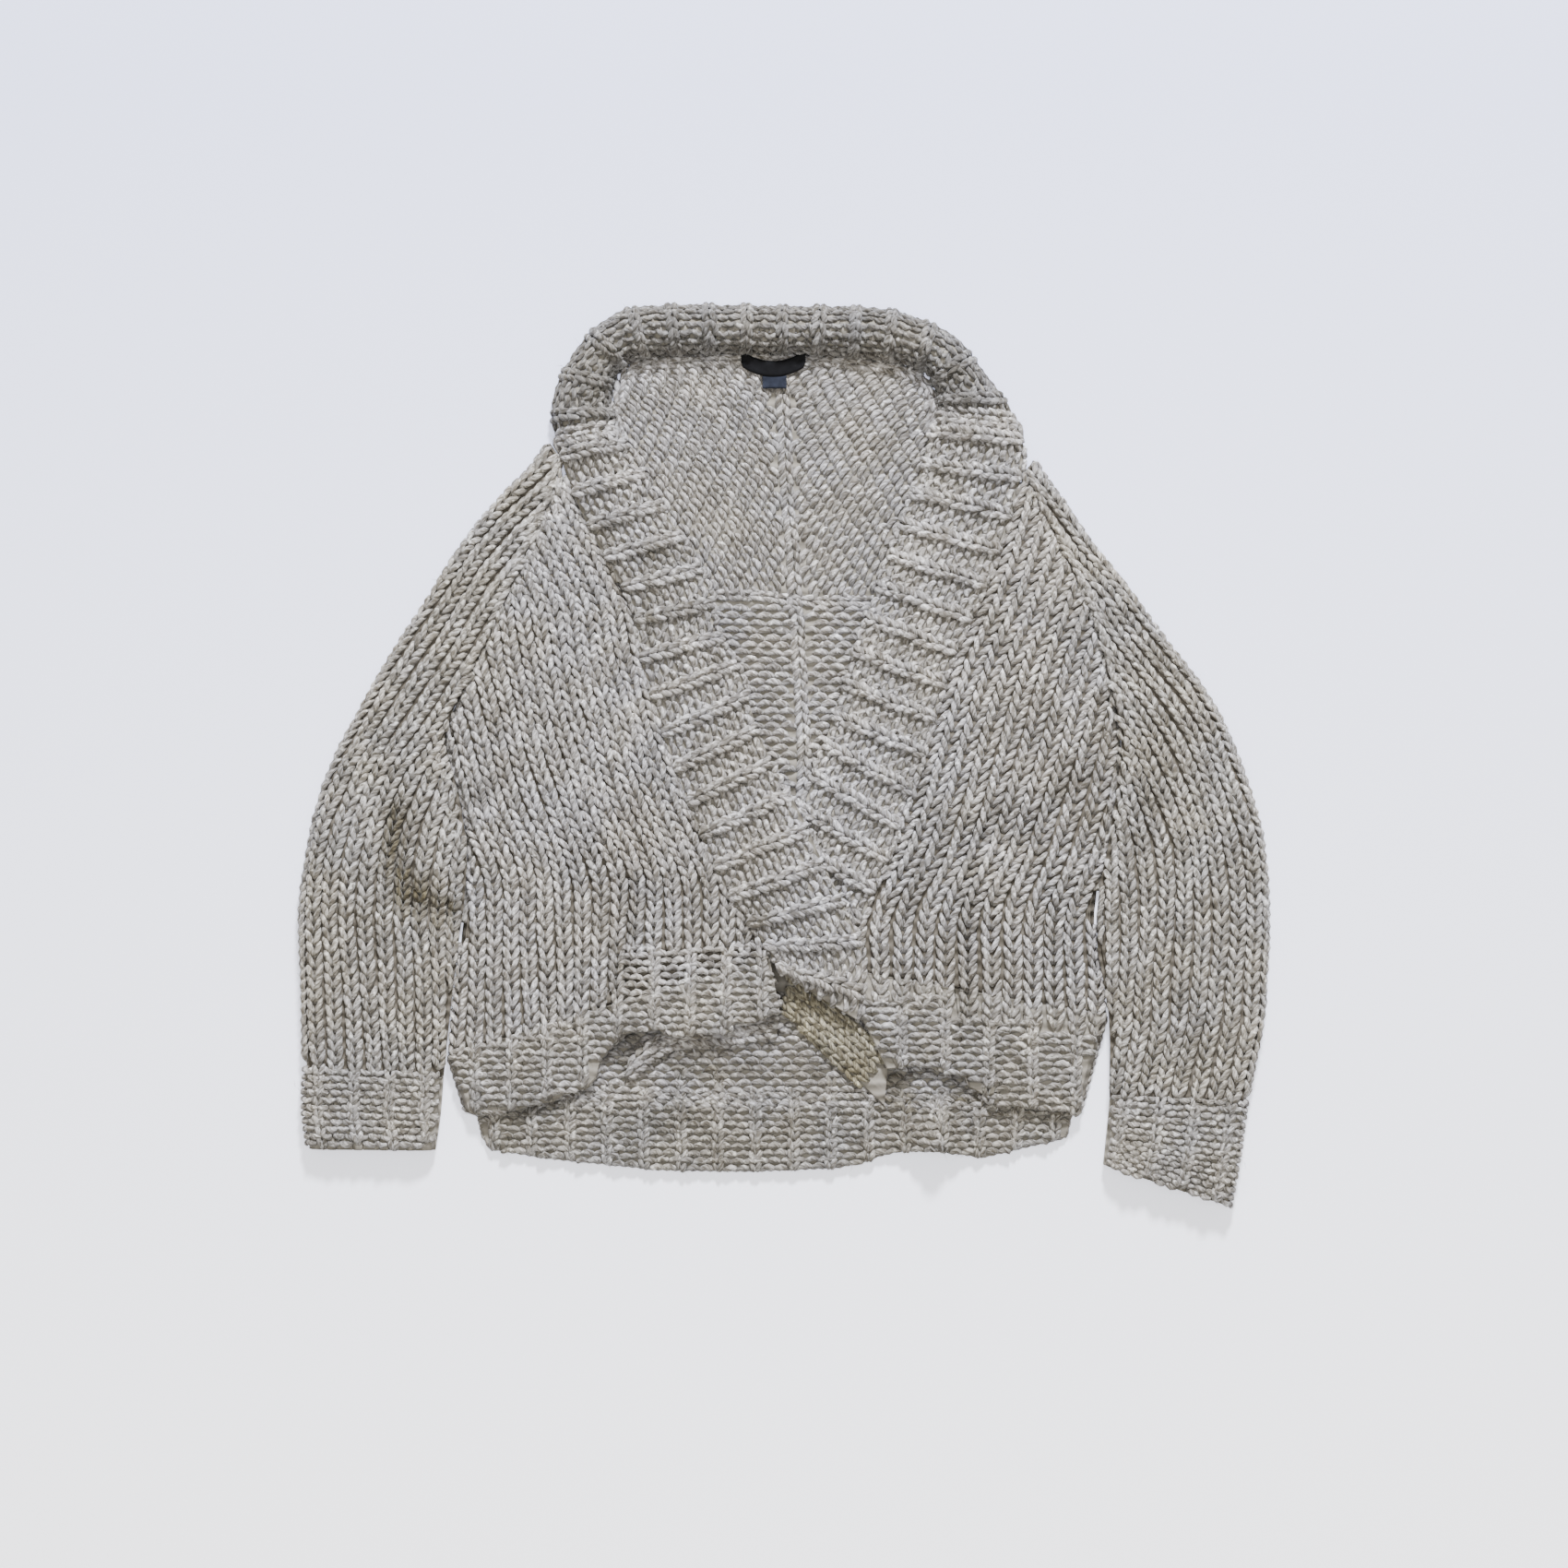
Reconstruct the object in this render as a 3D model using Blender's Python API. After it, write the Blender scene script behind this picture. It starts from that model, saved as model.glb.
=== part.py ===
"""An open-fronted chunky cardigan, laid flat face up with its fronts crossed.

+X is the viewer's right, +Y runs from hem to collar and +Z is up from the surface.
Tables are in millimetres and MM turns them into metres.
"""

import math

import bmesh
import bpy
import numpy as np
from mathutils import Vector

MM = 0.001
WALL = 5.0  # thickness of the knitted cloth
SEAM = 0.3  # gap left at a seam
EDGE_GAP = 1.1  # gap beside an edge that curves, whose straight steps need more room
RIB_PITCH = 26.5
RIB_HEIGHT = 2.0
COLLAR_RIBS = 19
RIB_STEPS = (0.30, 0.42, 0.58, 0.70)  # foot, crest, crest and foot of a rib in one repeat
COLLAR_RISE = 20.0
BAND_DROP_LENGTH = 22.0
CLEAR = 0.8  # gap between layers that lie on each other
FRONT_UNDER = WALL + CLEAR  # the fronts' underside where it lies on the back
FRONT_REST = FRONT_UNDER + 2.0  # the same where the front stands soft over it
BAND_LIFT = WALL + RIB_HEIGHT + 1.2
STRIP_LIFT = WALL + CLEAR
LIP_WIDTH = 3.5  # how far a front's side edge turns down to the surface
LIP_TURN = 0.7
LIP_TOP = 6.0
BODY_START = 8.0  # where a front's flat part starts beside its lip
THIN_WALL = 2.0  # least thickness left where a fold sinks into a sleeve

LIGHT_WOOL = (0.60, 0.55, 0.48, 1.0)
INSIDE_WOOL = (0.54, 0.49, 0.42, 1.0)
LABEL_BLACK = (0.02, 0.02, 0.02, 1.0)
TAG_NAVY = (0.07, 0.09, 0.13, 1.0)

# Sleeve sections: outer edge, inner edge, height of the flattened tube, and how far its
# inner side is closed (0 along the raglan seam, 1 below the armpit).
LEFT_SLEEVE = (
    # outer_x, outer_y, inner_x, inner_y, height, closed
    (-176.5, 235, -168.8, 225, 11.5, 0.0),
    (-184, 224, -170.5, 208, 11.5, 0.0),
    (-192, 214, -177, 187, 12.0, 0.0),
    (-214, 192, -193, 153, 12.5, 0.0),
    (-242, 157, -208, 118, 13.5, 0.0),
    (-269, 113, -225, 82, 14.5, 0.0),
    (-297, 70, -242, 46, 15.5, 0.1),
    (-319, 30, -254, 13, 17.0, 0.6),
    (-338, -6, -247, -15, 19.0, 1.0),
    (-351, -45, -238, -59, 21.0, 1.0),
    (-357, -77, -238, -94, 21.0, 1.0),
    (-362, -116, -242, -125, 19.0, 1.0),
    (-361, -155, -247, -166, 18.0, 1.0),
    (-360, -187, -251, -201, 18.0, 1.0),
    (-359, -236, -255, -240, 17.5, 1.0),
)
LEFT_CUFF = (
    (-359, -236.3, -255, -240.3, 17.5, 1.0),
    (-360, -266, -257, -268, 17.5, 1.0),
    (-356, -294, -261, -295, 17.0, 1.0),
)
RIGHT_SLEEVE = (
    (188, 222, 180.5, 213, 11.5, 0.0),
    (195, 210, 184.0, 204, 11.5, 0.0),
    (208, 193, 193, 185, 12.0, 0.0),
    (231, 158, 212, 148, 12.5, 0.0),
    (259, 124, 229, 113, 13.5, 0.0),
    (284, 88, 239, 77, 14.5, 0.0),
    (310, 55, 247, 41, 15.5, 0.1),
    (331, 20, 252, 8, 17.0, 0.6),
    (346, -21, 248, -32, 18.5, 1.0),
    (357, -56, 243, -66, 19.0, 1.0),
    (361, -95, 236, -101, 19.0, 1.0),
    (362, -135, 234, -139, 18.5, 1.0),
    (360, -166, 240, -172, 18.0, 1.0),
    (359, -195, 244, -201, 18.0, 1.0),
    (352, -228, 244, -232, 18.0, 1.0),
    (346, -261, 244, -256, 17.5, 1.0),
)
RIGHT_CUFF = (
    (346, -261.3, 244, -256.3, 17.5, 1.0),
    (341, -297, 241, -287, 17.5, 1.0),
    (334, -337, 239, -306, 17.0, 1.0),
)

# The collar's arch, from the left shoulder round the neck to the right one.
COLLAR = (
    # outer_x, outer_y, inner_x, inner_y
    (-172, 238, -126, 246),
    (-173, 261, -130, 261),
    (-168, 281, -130, 275),
    (-157, 301, -126, 288),
    (-139, 322, -117, 295),
    (-117, 334, -106, 299),
    (-83, 337, -79, 301),
    (-41, 337, -41, 302),
    (0, 336, 0, 302),
    (41, 336, 38, 300),
    (76, 334, 74, 297),
    (103, 326, 98, 292),
    (128, 313, 109, 286),
    (146, 291, 114, 277),
    (162, 270, 116, 268),
    (175, 251, 114, 257),
)

# Front bands: the seam edge, the free edge and how far the middle rises.
LEFT_BAND = (
    # seam_x, seam_y, free_x, free_y, crown
    (-172, 236.6, -126, 244.6, 14),
    (-166, 221, -117, 232, 10),
    (-162, 206, -110, 220, 7),
    (-145, 168, -90, 184, 4),
    (-127, 136, -69, 151, 2),
    (-113, 110, -55, 123, 2),
    (-108, 74, -48, 90, 2),
    (-97, 35, -32, 61, 2),
    (-85, -2, -23, 28, 2),
    (-71, -39, -8, -8, 2),
    (-57, -73, 12, -42, 2),
    (-40, -108, 30, -82, 2),
    (-21, -133, 48, -119, 2),
    (-11, -148, 59, -152, 2),
    (-1, -163, 54, -197, 1),
)
RIGHT_BAND = (
    (175.5, 249.4, 114.5, 255.4, 14),
    (179, 234, 110, 241, 10),
    (179, 217, 106, 226, 7),
    (170, 179, 97, 196, 4),
    (157, 141, 84, 163, 2),
    (141, 104, 71, 129, 2),
    (127, 74, 60, 99, 2),
    (116, 39, 48, 65, 2),
    (106, 3, 38, 32, 2),
    (94, -35, 28, 3, 2),
    (81, -70, 14, -30, 2),
    (69, -99, 1, -59, 1),
    (57, -125, -10, -90, 0),
    (38, -160, -8, -128, 0),
)

# Rows of the flat panels: left end and right end.
BACK_YOKE = (
    # left_x, left_y, right_x, right_y
    (-107, 297, 99, 290),
    (-124, 283, 109, 280),
    (-127, 266, 113, 266),
    (-123, 249, 111, 256),
    (-120, 240, 108, 245),
    (-150, 222, 150, 224),
    (-158, 204, 171, 204),
    (-172, 179, 187, 179),
    (-189, 145, 206, 145),
    (-198, 120, 218, 117),
)
BACK_LOWER = (
    (-199, 119.7, 219, 116.7),
    (-218, 79, 230, 74),
    (-232, 41, 239, 37),
    (-240, 13, 242, 6),
    (-234, -15, 238, -32),
    (-226, -59, 232, -67),
    (-227, -97, 225, -101),
    (-233, -166, 221, -165),
    (-233, -215, 216, -208),
    (-231, -255, 217, -255),
)
BACK_HEM = (
    (-231, -255.3, 217, -255.3),
    (-229, -275, 215, -275),
    (-222, -294, 211, -286),
)
LEFT_FRONT_ENDS = ((205, 203), (-224, -149))  # y of the side and band ends, top then bottom
RIGHT_FRONT_ENDS = ((208, 208), (-194, -158))

# Raised and sunk folds: a line, its half width and its height.
FOLDS = (
    # x0, y0, x1, y1, half_width, height
    (-110, -97, -131, -200, 9, -1.6),
    (140, -56, 135, -190, 8, -1.8),
    (160, -90, 158, -190, 12, 2.5),
    (166, -42, 207, -1, 10, 3.0),
    (-180, 60, -205, -20, 16, 1.6),
)
SLEEVE_FOLDS = (
    (-290, -56, -281, -105, 8, -2.5),
    (-281, -108, -245, -115, 7, -2.5),
    (-318, -70, -312, -110, 14, 2.0),
    (300, -60, 308, -190, 14, 1.5),
)

# Hem edges: how far along the hem, and the y reached there.
LEFT_HEM_FOOT = (
    (0.0, -266), (0.12, -269), (0.30, -259), (0.41, -248), (0.46, -239), (0.50, -208),
    (0.63, -204), (0.68, -210), (0.74, -206), (0.82, -208), (0.87, -200), (1.0, -192),
)
RIGHT_HEM_FOOT = (
    (0.0, -234), (0.11, -232), (0.19, -232), (0.33, -238), (0.40, -241), (0.48, -259),
    (0.66, -263), (0.90, -266), (1.0, -268),
)
BACK_HEM_FOOT = (
    (0.0, -294), (0.10, -301), (0.30, -310), (0.45, -311), (0.62, -308), (0.70, -296),
    (0.78, -295), (0.86, -301), (0.90, -296), (1.0, -286),
)
PLEAT_X = 111.0
PLEAT_HALF_WIDTH = 14.0
PLEAT_HEIGHT = 19.0
PLEAT_TOP_Y = -259.0
PLEAT_FULL_Y = -284.0

# Where one layer climbs on another: the places between which it rises.
CROSS_FROM_EDGE = (-20, -2)  # distance from the right band's free edge
CROSS_Y = (10, -22)
CROSS_EDGE_Y = (-128, 250)
ROLL_X = (-138, -124)
ROLL_Y = (-150, -190)
STRIP_X = (105, 80)
STRIP_Y = (-165, -190)
CORNER_X = (110, 75)
CORNER_Y = (-60, -110)

STRIP_UPPER = ((5, -157), (79, -220))  # the strip's edge beneath the crossing
STRIP_LOWER = ((-1, -190), (75, -262))
UNDER_ROLL = ((-118, -246), (-104, -232), (-88, -222), (-69, -218), (-38, -216), (-6, -212))
ROLL_REACH = (2.0, 14.0)  # from the roll's foot to its upper edge
STRIP_TOPS = (4.8, 4.8, 4.8, 5.0, 5.2, 3.8)  # its thickness from the upper edge to the lower one
ROLL_TOPS = (4.4, 4.6, 4.8, 4.8, 4.4, 2.6)

LABEL_BOX = (-32, 283, 16, 299, 1.0)  # left, bottom, right, top, thickness
TAG_BOX = (-16, 275, 2, 282.5, 0.8)


def clear_scene():
    for item in list(bpy.data.objects):
        bpy.data.objects.remove(item, do_unlink=True)


def material(name, colour):
    made = bpy.data.materials.new(name)
    made.use_nodes = True
    shader = made.node_tree.nodes["Principled BSDF"]
    shader.inputs["Base Color"].default_value = colour
    shader.inputs["Roughness"].default_value = 0.95
    shader.inputs["Metallic"].default_value = 0.0
    return made


def smoothstep(low, high, value):
    share = np.clip((value - low) / (high - low), 0.0, 1.0)
    return share * share * (3.0 - 2.0 * share)


def smooth_rows(table, places):
    """The table's columns read at these places, from 0 to 1, on a curve through its rows."""
    rows = np.array(table, float)
    ends = np.vstack([2 * rows[0] - rows[1], rows, 2 * rows[-1] - rows[-2]])
    read = []
    for place in places:
        along = min(place * (len(rows) - 1), len(rows) - 1 - 1e-9)
        first = int(along)
        t = along - first
        a, b, c, d = ends[first : first + 4]
        curve = 2 * b + (c - a) * t
        curve = curve + (2 * a - 5 * b + 4 * c - d) * t**2
        curve = curve + (3 * b - a - 3 * c + d) * t**3
        read.append(curve / 2)
    return np.array(read)


def even_rows(table, places):
    """As smooth_rows, but the places are even along the middle line between the two ends."""
    dense = smooth_rows(table, np.linspace(0, 1, 300))
    middle = (dense[:, 0:2] + dense[:, 2:4]) / 2
    along = np.concatenate([[0.0], np.cumsum(np.hypot(*np.diff(middle, axis=0).T))])
    wanted = np.asarray(places) * along[-1]
    return np.stack([np.interp(wanted, along, column) for column in dense.T], axis=-1)


def len_mm(rows):
    """Length of the middle line of a run of rows that start with two ends each."""
    middle = (rows[:, 0:2] + rows[:, 2:4]) / 2
    return np.hypot(*np.diff(middle, axis=0).T).sum()


def edge_x(table, first_column, y):
    """x of an edge of a smoothed table at this y."""
    curve = smooth_rows(table, np.linspace(0, 1, 200))
    order = np.argsort(curve[:, first_column + 1])
    return np.interp(y, curve[order, first_column + 1], curve[order, first_column])


def fold_height(x, y, folds):
    total = np.zeros_like(x)
    for x0, y0, x1, y1, half_width, height in folds:
        run = np.array([x1 - x0, y1 - y0], float)
        share = ((x - x0) * run[0] + (y - y0) * run[1]) / (run @ run)
        near = np.clip(share, 0, 1)
        away = np.hypot(x - x0 - near * run[0], y - y0 - near * run[1])
        total = total + height * np.exp(-((away / half_width) ** 2))
    return total


def band_cross_lift(x, y):
    """The rise of the left layers where they lie on the right band."""
    from_edge = x - edge_x(RIGHT_BAND, 2, np.clip(y, *CROSS_EDGE_Y))
    return BAND_LIFT * smoothstep(*CROSS_FROM_EDGE, from_edge) * smoothstep(*CROSS_Y, y)


def roll_lift(x, y):
    """The rise of the left front's hem where it lies on the layer under it."""
    return STRIP_LIFT * smoothstep(*ROLL_X, x) * smoothstep(*ROLL_Y, y)


def strip_lift(x, y):
    """The rise of the right front's corner over the turned strip."""
    return STRIP_LIFT * smoothstep(*STRIP_X, x) * smoothstep(*STRIP_Y, y)


def left_under(x, y):
    lift = np.maximum(band_cross_lift(x, y), roll_lift(x, y))
    return np.maximum(FRONT_REST + fold_height(x, y, FOLDS), FRONT_UNDER) + lift


def right_under(x, y):
    under_left = smoothstep(*CORNER_Y, y) * smoothstep(*CORNER_X, x)
    rest = FRONT_REST * (1 - under_left) + FRONT_UNDER * under_left
    return np.maximum(rest + fold_height(x, y, FOLDS), FRONT_UNDER) + strip_lift(x, y)


def rib_places(count):
    """Places along a ribbed piece: its ends and four to each rib."""
    inner = [(k + step) / count for k in range(count) for step in RIB_STEPS]
    places = np.array([0.0] + inner + [1.0])
    raised = np.array([0.0] + [0.0, 1.0, 1.0, 0.0] * count + [0.0])
    return places, raised


def wall_object(name, inner, outer, look, collection):
    """One closed wall between two grids of points that match."""
    rows, columns = inner.shape[:2]
    size = rows * columns
    points = np.vstack([inner.reshape(-1, 3), outer.reshape(-1, 3)]) * MM
    index = np.arange(size).reshape(rows, columns)
    a = index[:-1, :-1].ravel()
    b = index[:-1, 1:].ravel()
    c = index[1:, 1:].ravel()
    d = index[1:, :-1].ravel()
    faces = [(p, q, r, s) for p, q, r, s in zip(a, b, c, d)]
    faces += [(s + size, r + size, q + size, p + size) for p, q, r, s in zip(a, b, c, d)]
    ring = list(index[0, :-1]) + list(index[:-1, -1])
    ring += list(index[-1, :0:-1]) + list(index[:0:-1, 0])
    for here, after in zip(ring, ring[1:] + ring[:1]):
        faces.append((after, here, here + size, after + size))
    mesh = bpy.data.meshes.new(name)
    mesh.from_pydata(points.tolist(), [], [tuple(int(i) for i in f) for f in faces])
    mesh.update()
    corners = np.array([v.co for v in mesh.vertices])
    volume = 0.0
    mesh.calc_loop_triangles()
    for tri in mesh.loop_triangles:
        p, q, r = corners[list(tri.vertices)]
        volume += p @ np.cross(q, r)
    if volume < 0:
        mesh.flip_normals()
    mesh.shade_smooth()
    mesh.set_sharp_from_angle(angle=math.radians(50))
    mesh.materials.append(look)
    made = bpy.data.objects.new(name, mesh)
    collection.objects.link(made)
    return made


def flat_grid(rows, across):
    """Plan points between the left and right ends of each row."""
    share = across[None, :]
    x = rows[:, 0:1] * (1 - share) + rows[:, 2:3] * share
    y = rows[:, 1:2] * (1 - share) + rows[:, 3:4] * share
    return x, y


def stack(x, y, z):
    return np.stack([x, y, z], axis=-1)


def make_sleeve(name, table, ribs, steps, look, collection):
    """A flattened tube with an underarm seam: a wall that runs from its top inner edge over
    the outer fold and back beneath to the same edge."""
    rows = smooth_rows(table, np.linspace(0, 1, steps))
    if ribs:
        across, raised = rib_places(ribs)
    else:
        across = np.linspace(0, 1, 8)
        raised = np.zeros(8)
    below = np.linspace(1, 0, 5)
    arc = np.radians((90, 50, 20, 0, -20, -50, -90))
    inner_rows = []
    outer_rows = []
    for outer_x, outer_y, inner_x, inner_y, height, closed in rows:
        closed = min(max(closed, 0.0), 1.0)
        start = np.array([inner_x, inner_y])
        span = np.array([outer_x, outer_y]) - start
        width = math.hypot(*span)
        along = span / width
        sections = []
        for depth, lift in ((0.0, raised), (WALL, raised * 0)):
            turn = height / 2 - depth
            corner = max(closed * (height / 2 - 0.2) - depth, 0.3)
            left = depth * closed
            top = height - depth
            right = width - depth - turn
            corner_turns = np.radians((0, 45))
            opening = [(left + corner * (1 - math.cos(t)), top - corner * (1 - math.sin(t)))
                       for t in corner_turns]
            reach = left + corner + (right - left - corner) * across
            upper = list(zip(reach, top + lift * RIB_HEIGHT))
            fold = [(right + turn * math.cos(t), height / 2 + turn * math.sin(t))
                    for t in arc[1:-1]]
            reach = left + corner + (right - left - corner) * below
            lower = [(s, depth) for s in reach]
            closing = [(left + corner * (1 - math.cos(t)), depth + corner * (1 - math.sin(t)))
                       for t in corner_turns[::-1]]
            sections.append(np.array(opening + upper + fold + lower + closing))
        count = len(opening) + len(upper)
        for section, kept in zip(sections, (outer_rows, inner_rows)):
            plan = start + section[:, 0:1] * along
            z = section[:, 1].copy()
            if kept is outer_rows:
                # Folds shape the outside of the top, and the inside stays plain.
                fold_by = fold_height(plan[:count, 0], plan[:count, 1], SLEEVE_FOLDS)
                z[:count] += np.maximum(fold_by, THIN_WALL - WALL) * closed
            kept.append(stack(plan[:, 0], plan[:, 1], z))
    return wall_object(name, np.array(inner_rows), np.array(outer_rows), look, collection)


def make_collar(look, collection):
    """An arch of ribbed cloth that stands on its two edges round the neck."""
    places, raised = rib_places(COLLAR_RIBS)
    rows = even_rows(COLLAR, places)
    turns = np.radians(np.linspace(0, 180, 8))
    inner_rows = []
    outer_rows = []
    for (outer_x, outer_y, inner_x, inner_y), rib in zip(rows, raised):
        start = np.array([inner_x, inner_y])
        span = np.array([outer_x, outer_y]) - start
        width = math.hypot(*span)
        along = span / width
        for depth, kept in ((WALL, inner_rows), (-rib * RIB_HEIGHT, outer_rows)):
            half = width / 2 - max(depth, 0.0)
            rise = COLLAR_RISE + WALL / 2 - depth
            s = width / 2 - half * np.cos(turns)
            plan = start + s[:, None] * along
            kept.append(stack(plan[:, 0], plan[:, 1], rise * np.sin(turns)))
    return wall_object("collar", np.array(inner_rows), np.array(outer_rows), look, collection)


def make_band(name, table, under, look, collection):
    dense = smooth_rows(table, np.linspace(0, 1, 60))
    places, raised = rib_places(round(len_mm(dense) / RIB_PITCH))
    rows = even_rows(table, places)
    across = np.linspace(0, 1, 5)
    x, y = flat_grid(rows, across)
    crown = rows[:, 4:5] * np.sin(math.pi * across)[None, :]
    # Beside the collar nothing lies under the seam edge, so it comes down to the surface.
    from_collar = smoothstep(BAND_DROP_LENGTH, 0, (places * len_mm(rows))[:, None])
    drop = FRONT_UNDER * from_collar * smoothstep(0.3, 0.0, across)[None, :]
    low = under(x, y) + crown - drop
    soft_edge = np.where((across == 0) | (across == 1), 0.0, 1.0)[None, :]
    high = low + WALL + RIB_HEIGHT * raised[:, None] * soft_edge
    return wall_object(name, stack(x, y, low), stack(x, y, high), look, collection)


def make_back(name, table, steps, columns, look, collection, top_edge=None):
    rows = smooth_rows(table, np.linspace(0, 1, steps))
    across = np.linspace(0, 1, columns)
    x, y = flat_grid(rows, across)
    if top_edge is not None:
        share = (1 - np.linspace(0, 1, steps) / 0.2).clip(0, 1)[:, None]
        y = y + share * (top_edge(x[0]) - y[0])[None, :]
    low = np.zeros_like(x)
    return wall_object(name, stack(x, y, low), stack(x, y, low + WALL), look, collection)


def neck_edge(x):
    """y of the collar's inner foot, less the seam."""
    curve = smooth_rows(COLLAR, np.linspace(0.3, 0.75, 80))
    return np.interp(x, curve[:, 2], curve[:, 3]) - SEAM - 0.3


def make_back_hem(look, collection):
    places, raised = rib_places(16)
    rows = smooth_rows(BACK_HEM, np.linspace(0, 1, 5))
    x, y = flat_grid(rows, places)
    foot = np.interp(places, *np.array(BACK_HEM_FOOT).T)
    share = np.linspace(0, 1, 5)[:, None]
    y = y + share * (foot - y[-1])[None, :]
    across = np.exp(-(((x - PLEAT_X) / PLEAT_HALF_WIDTH) ** 2))
    low = PLEAT_HEIGHT * across * smoothstep(PLEAT_TOP_Y, PLEAT_FULL_Y, y)
    low = np.where(low < 0.3, 0.0, low)
    high = low + WALL + RIB_HEIGHT * raised[None, :] * smoothstep(0, 0.2, share)
    return wall_object("back_hem_rib", stack(x, y, low), stack(x, y, high), look, collection)


def front_rows(side_table, band_table, ends, side, steps):
    """Rows from the side seam to the band, between two pairs of y."""
    (side_top, band_top), (side_low, band_low) = ends
    share = np.linspace(0, 1, steps)
    side_y = side_top + (side_low - side_top) * share
    band_y = band_top + (band_low - band_top) * share
    side_x = edge_x(side_table, 2, side_y) - side * EDGE_GAP
    band_x = edge_x(band_table, 0, band_y) + side * EDGE_GAP
    return np.stack([side_x, side_y, band_x, band_y], axis=-1)


def lipped(x, y, low, high):
    """Turns the first column of a front down round the back's edge to the surface."""
    low = low.copy()
    high = high.copy()
    low[:, 0] = 0.0
    low[:, 1] = 0.0
    high[:, 0] = np.minimum(high[:, 0], LIP_TOP)
    high[:, 1] = high[:, 1] - 1.0
    return low, high


def lip_places(width):
    return [0.0, LIP_WIDTH / width, (LIP_WIDTH + LIP_TURN) / width]


def front_columns(width, count):
    """Places across a front, the first three of them on its turned side edge."""
    return np.concatenate([lip_places(width), np.linspace(BODY_START / width, 1, count)])


def make_front(name, rows, under, look, collection, foot=None, ribs=0):
    grid_x = []
    grid_y = []
    for left_x, left_y, right_x, right_y in rows:
        width = max(math.hypot(right_x - left_x, right_y - left_y), 16.0)
        if ribs:
            places, raised = rib_places(ribs)
            body = BODY_START / width + (1 - BODY_START / width) * places
            across = np.concatenate([lip_places(width), body])
            raised = np.concatenate([[0.0, 0.0, 0.0], raised])
        else:
            across = front_columns(width, 12)
            raised = np.zeros(len(across))
        grid_x.append(left_x + (right_x - left_x) * across)
        grid_y.append(left_y + (right_y - left_y) * across)
    x = np.array(grid_x)
    y = np.array(grid_y)
    share = np.linspace(0, 1, len(rows))[:, None]
    if foot is not None:
        end = np.interp(np.linspace(0, 1, x.shape[1]), *np.array(foot).T)
        y = y + share * (end - y[-1])[None, :]
    low = under(x, y)
    high = low + WALL + RIB_HEIGHT * raised[None, :]
    low, high = lipped(x, y, low, high)
    return wall_object(name, stack(x, y, low), stack(x, y, high), look, collection)


def make_strip(look, collection):
    share = np.linspace(0, 1, 13)[:, None]
    upper = np.array(STRIP_UPPER[0]) * (1 - share) + np.array(STRIP_UPPER[1]) * share
    lower = np.array(STRIP_LOWER[0]) * (1 - share) + np.array(STRIP_LOWER[1]) * share
    across = np.linspace(0, 1, 6)
    x, y = flat_grid(np.hstack([upper, lower]), across)
    low = np.full_like(x, WALL + SEAM)
    high = low + np.array(STRIP_TOPS)[None, :]
    return wall_object("turned_corner", stack(x, y, low), stack(x, y, high), look, collection)


def make_roll(look, collection):
    foot = smooth_rows(UNDER_ROLL, np.linspace(0, 1, 18))
    upper = foot + np.array(ROLL_REACH)
    across = np.linspace(0, 1, 6)
    x, y = flat_grid(np.hstack([upper, foot]), across)
    low = np.full_like(x, WALL + SEAM)
    high = low + np.array(ROLL_TOPS)[None, :]
    return wall_object("under_hem", stack(x, y, low), stack(x, y, high), look, collection)


def make_plate(name, box, look, collection):
    """A small flat plate that lies on the back."""
    left, bottom, right, top, thick = box
    size = Vector((right - left, top - bottom, thick)) * MM
    middle = Vector(((left + right) / 2, (top + bottom) / 2, WALL + SEAM + thick / 2)) * MM
    shape = bmesh.new()
    bmesh.ops.create_cube(shape, size=1.0)
    bmesh.ops.scale(shape, vec=size, verts=shape.verts)
    bmesh.ops.translate(shape, vec=middle, verts=shape.verts)
    mesh = bpy.data.meshes.new(name)
    shape.to_mesh(mesh)
    shape.free()
    mesh.materials.append(look)
    made = bpy.data.objects.new(name, mesh)
    collection.objects.link(made)
    return made


def hem_rows(front, foot_ends):
    """Rows of a front's hem rib, from just below the front to its foot."""
    top = front[-1].copy()
    top[[1, 3]] -= SEAM
    bottom = np.array(foot_ends, float)
    share = np.linspace(0, 1, 5)[:, None]
    return top * (1 - share) + bottom * share


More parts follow.
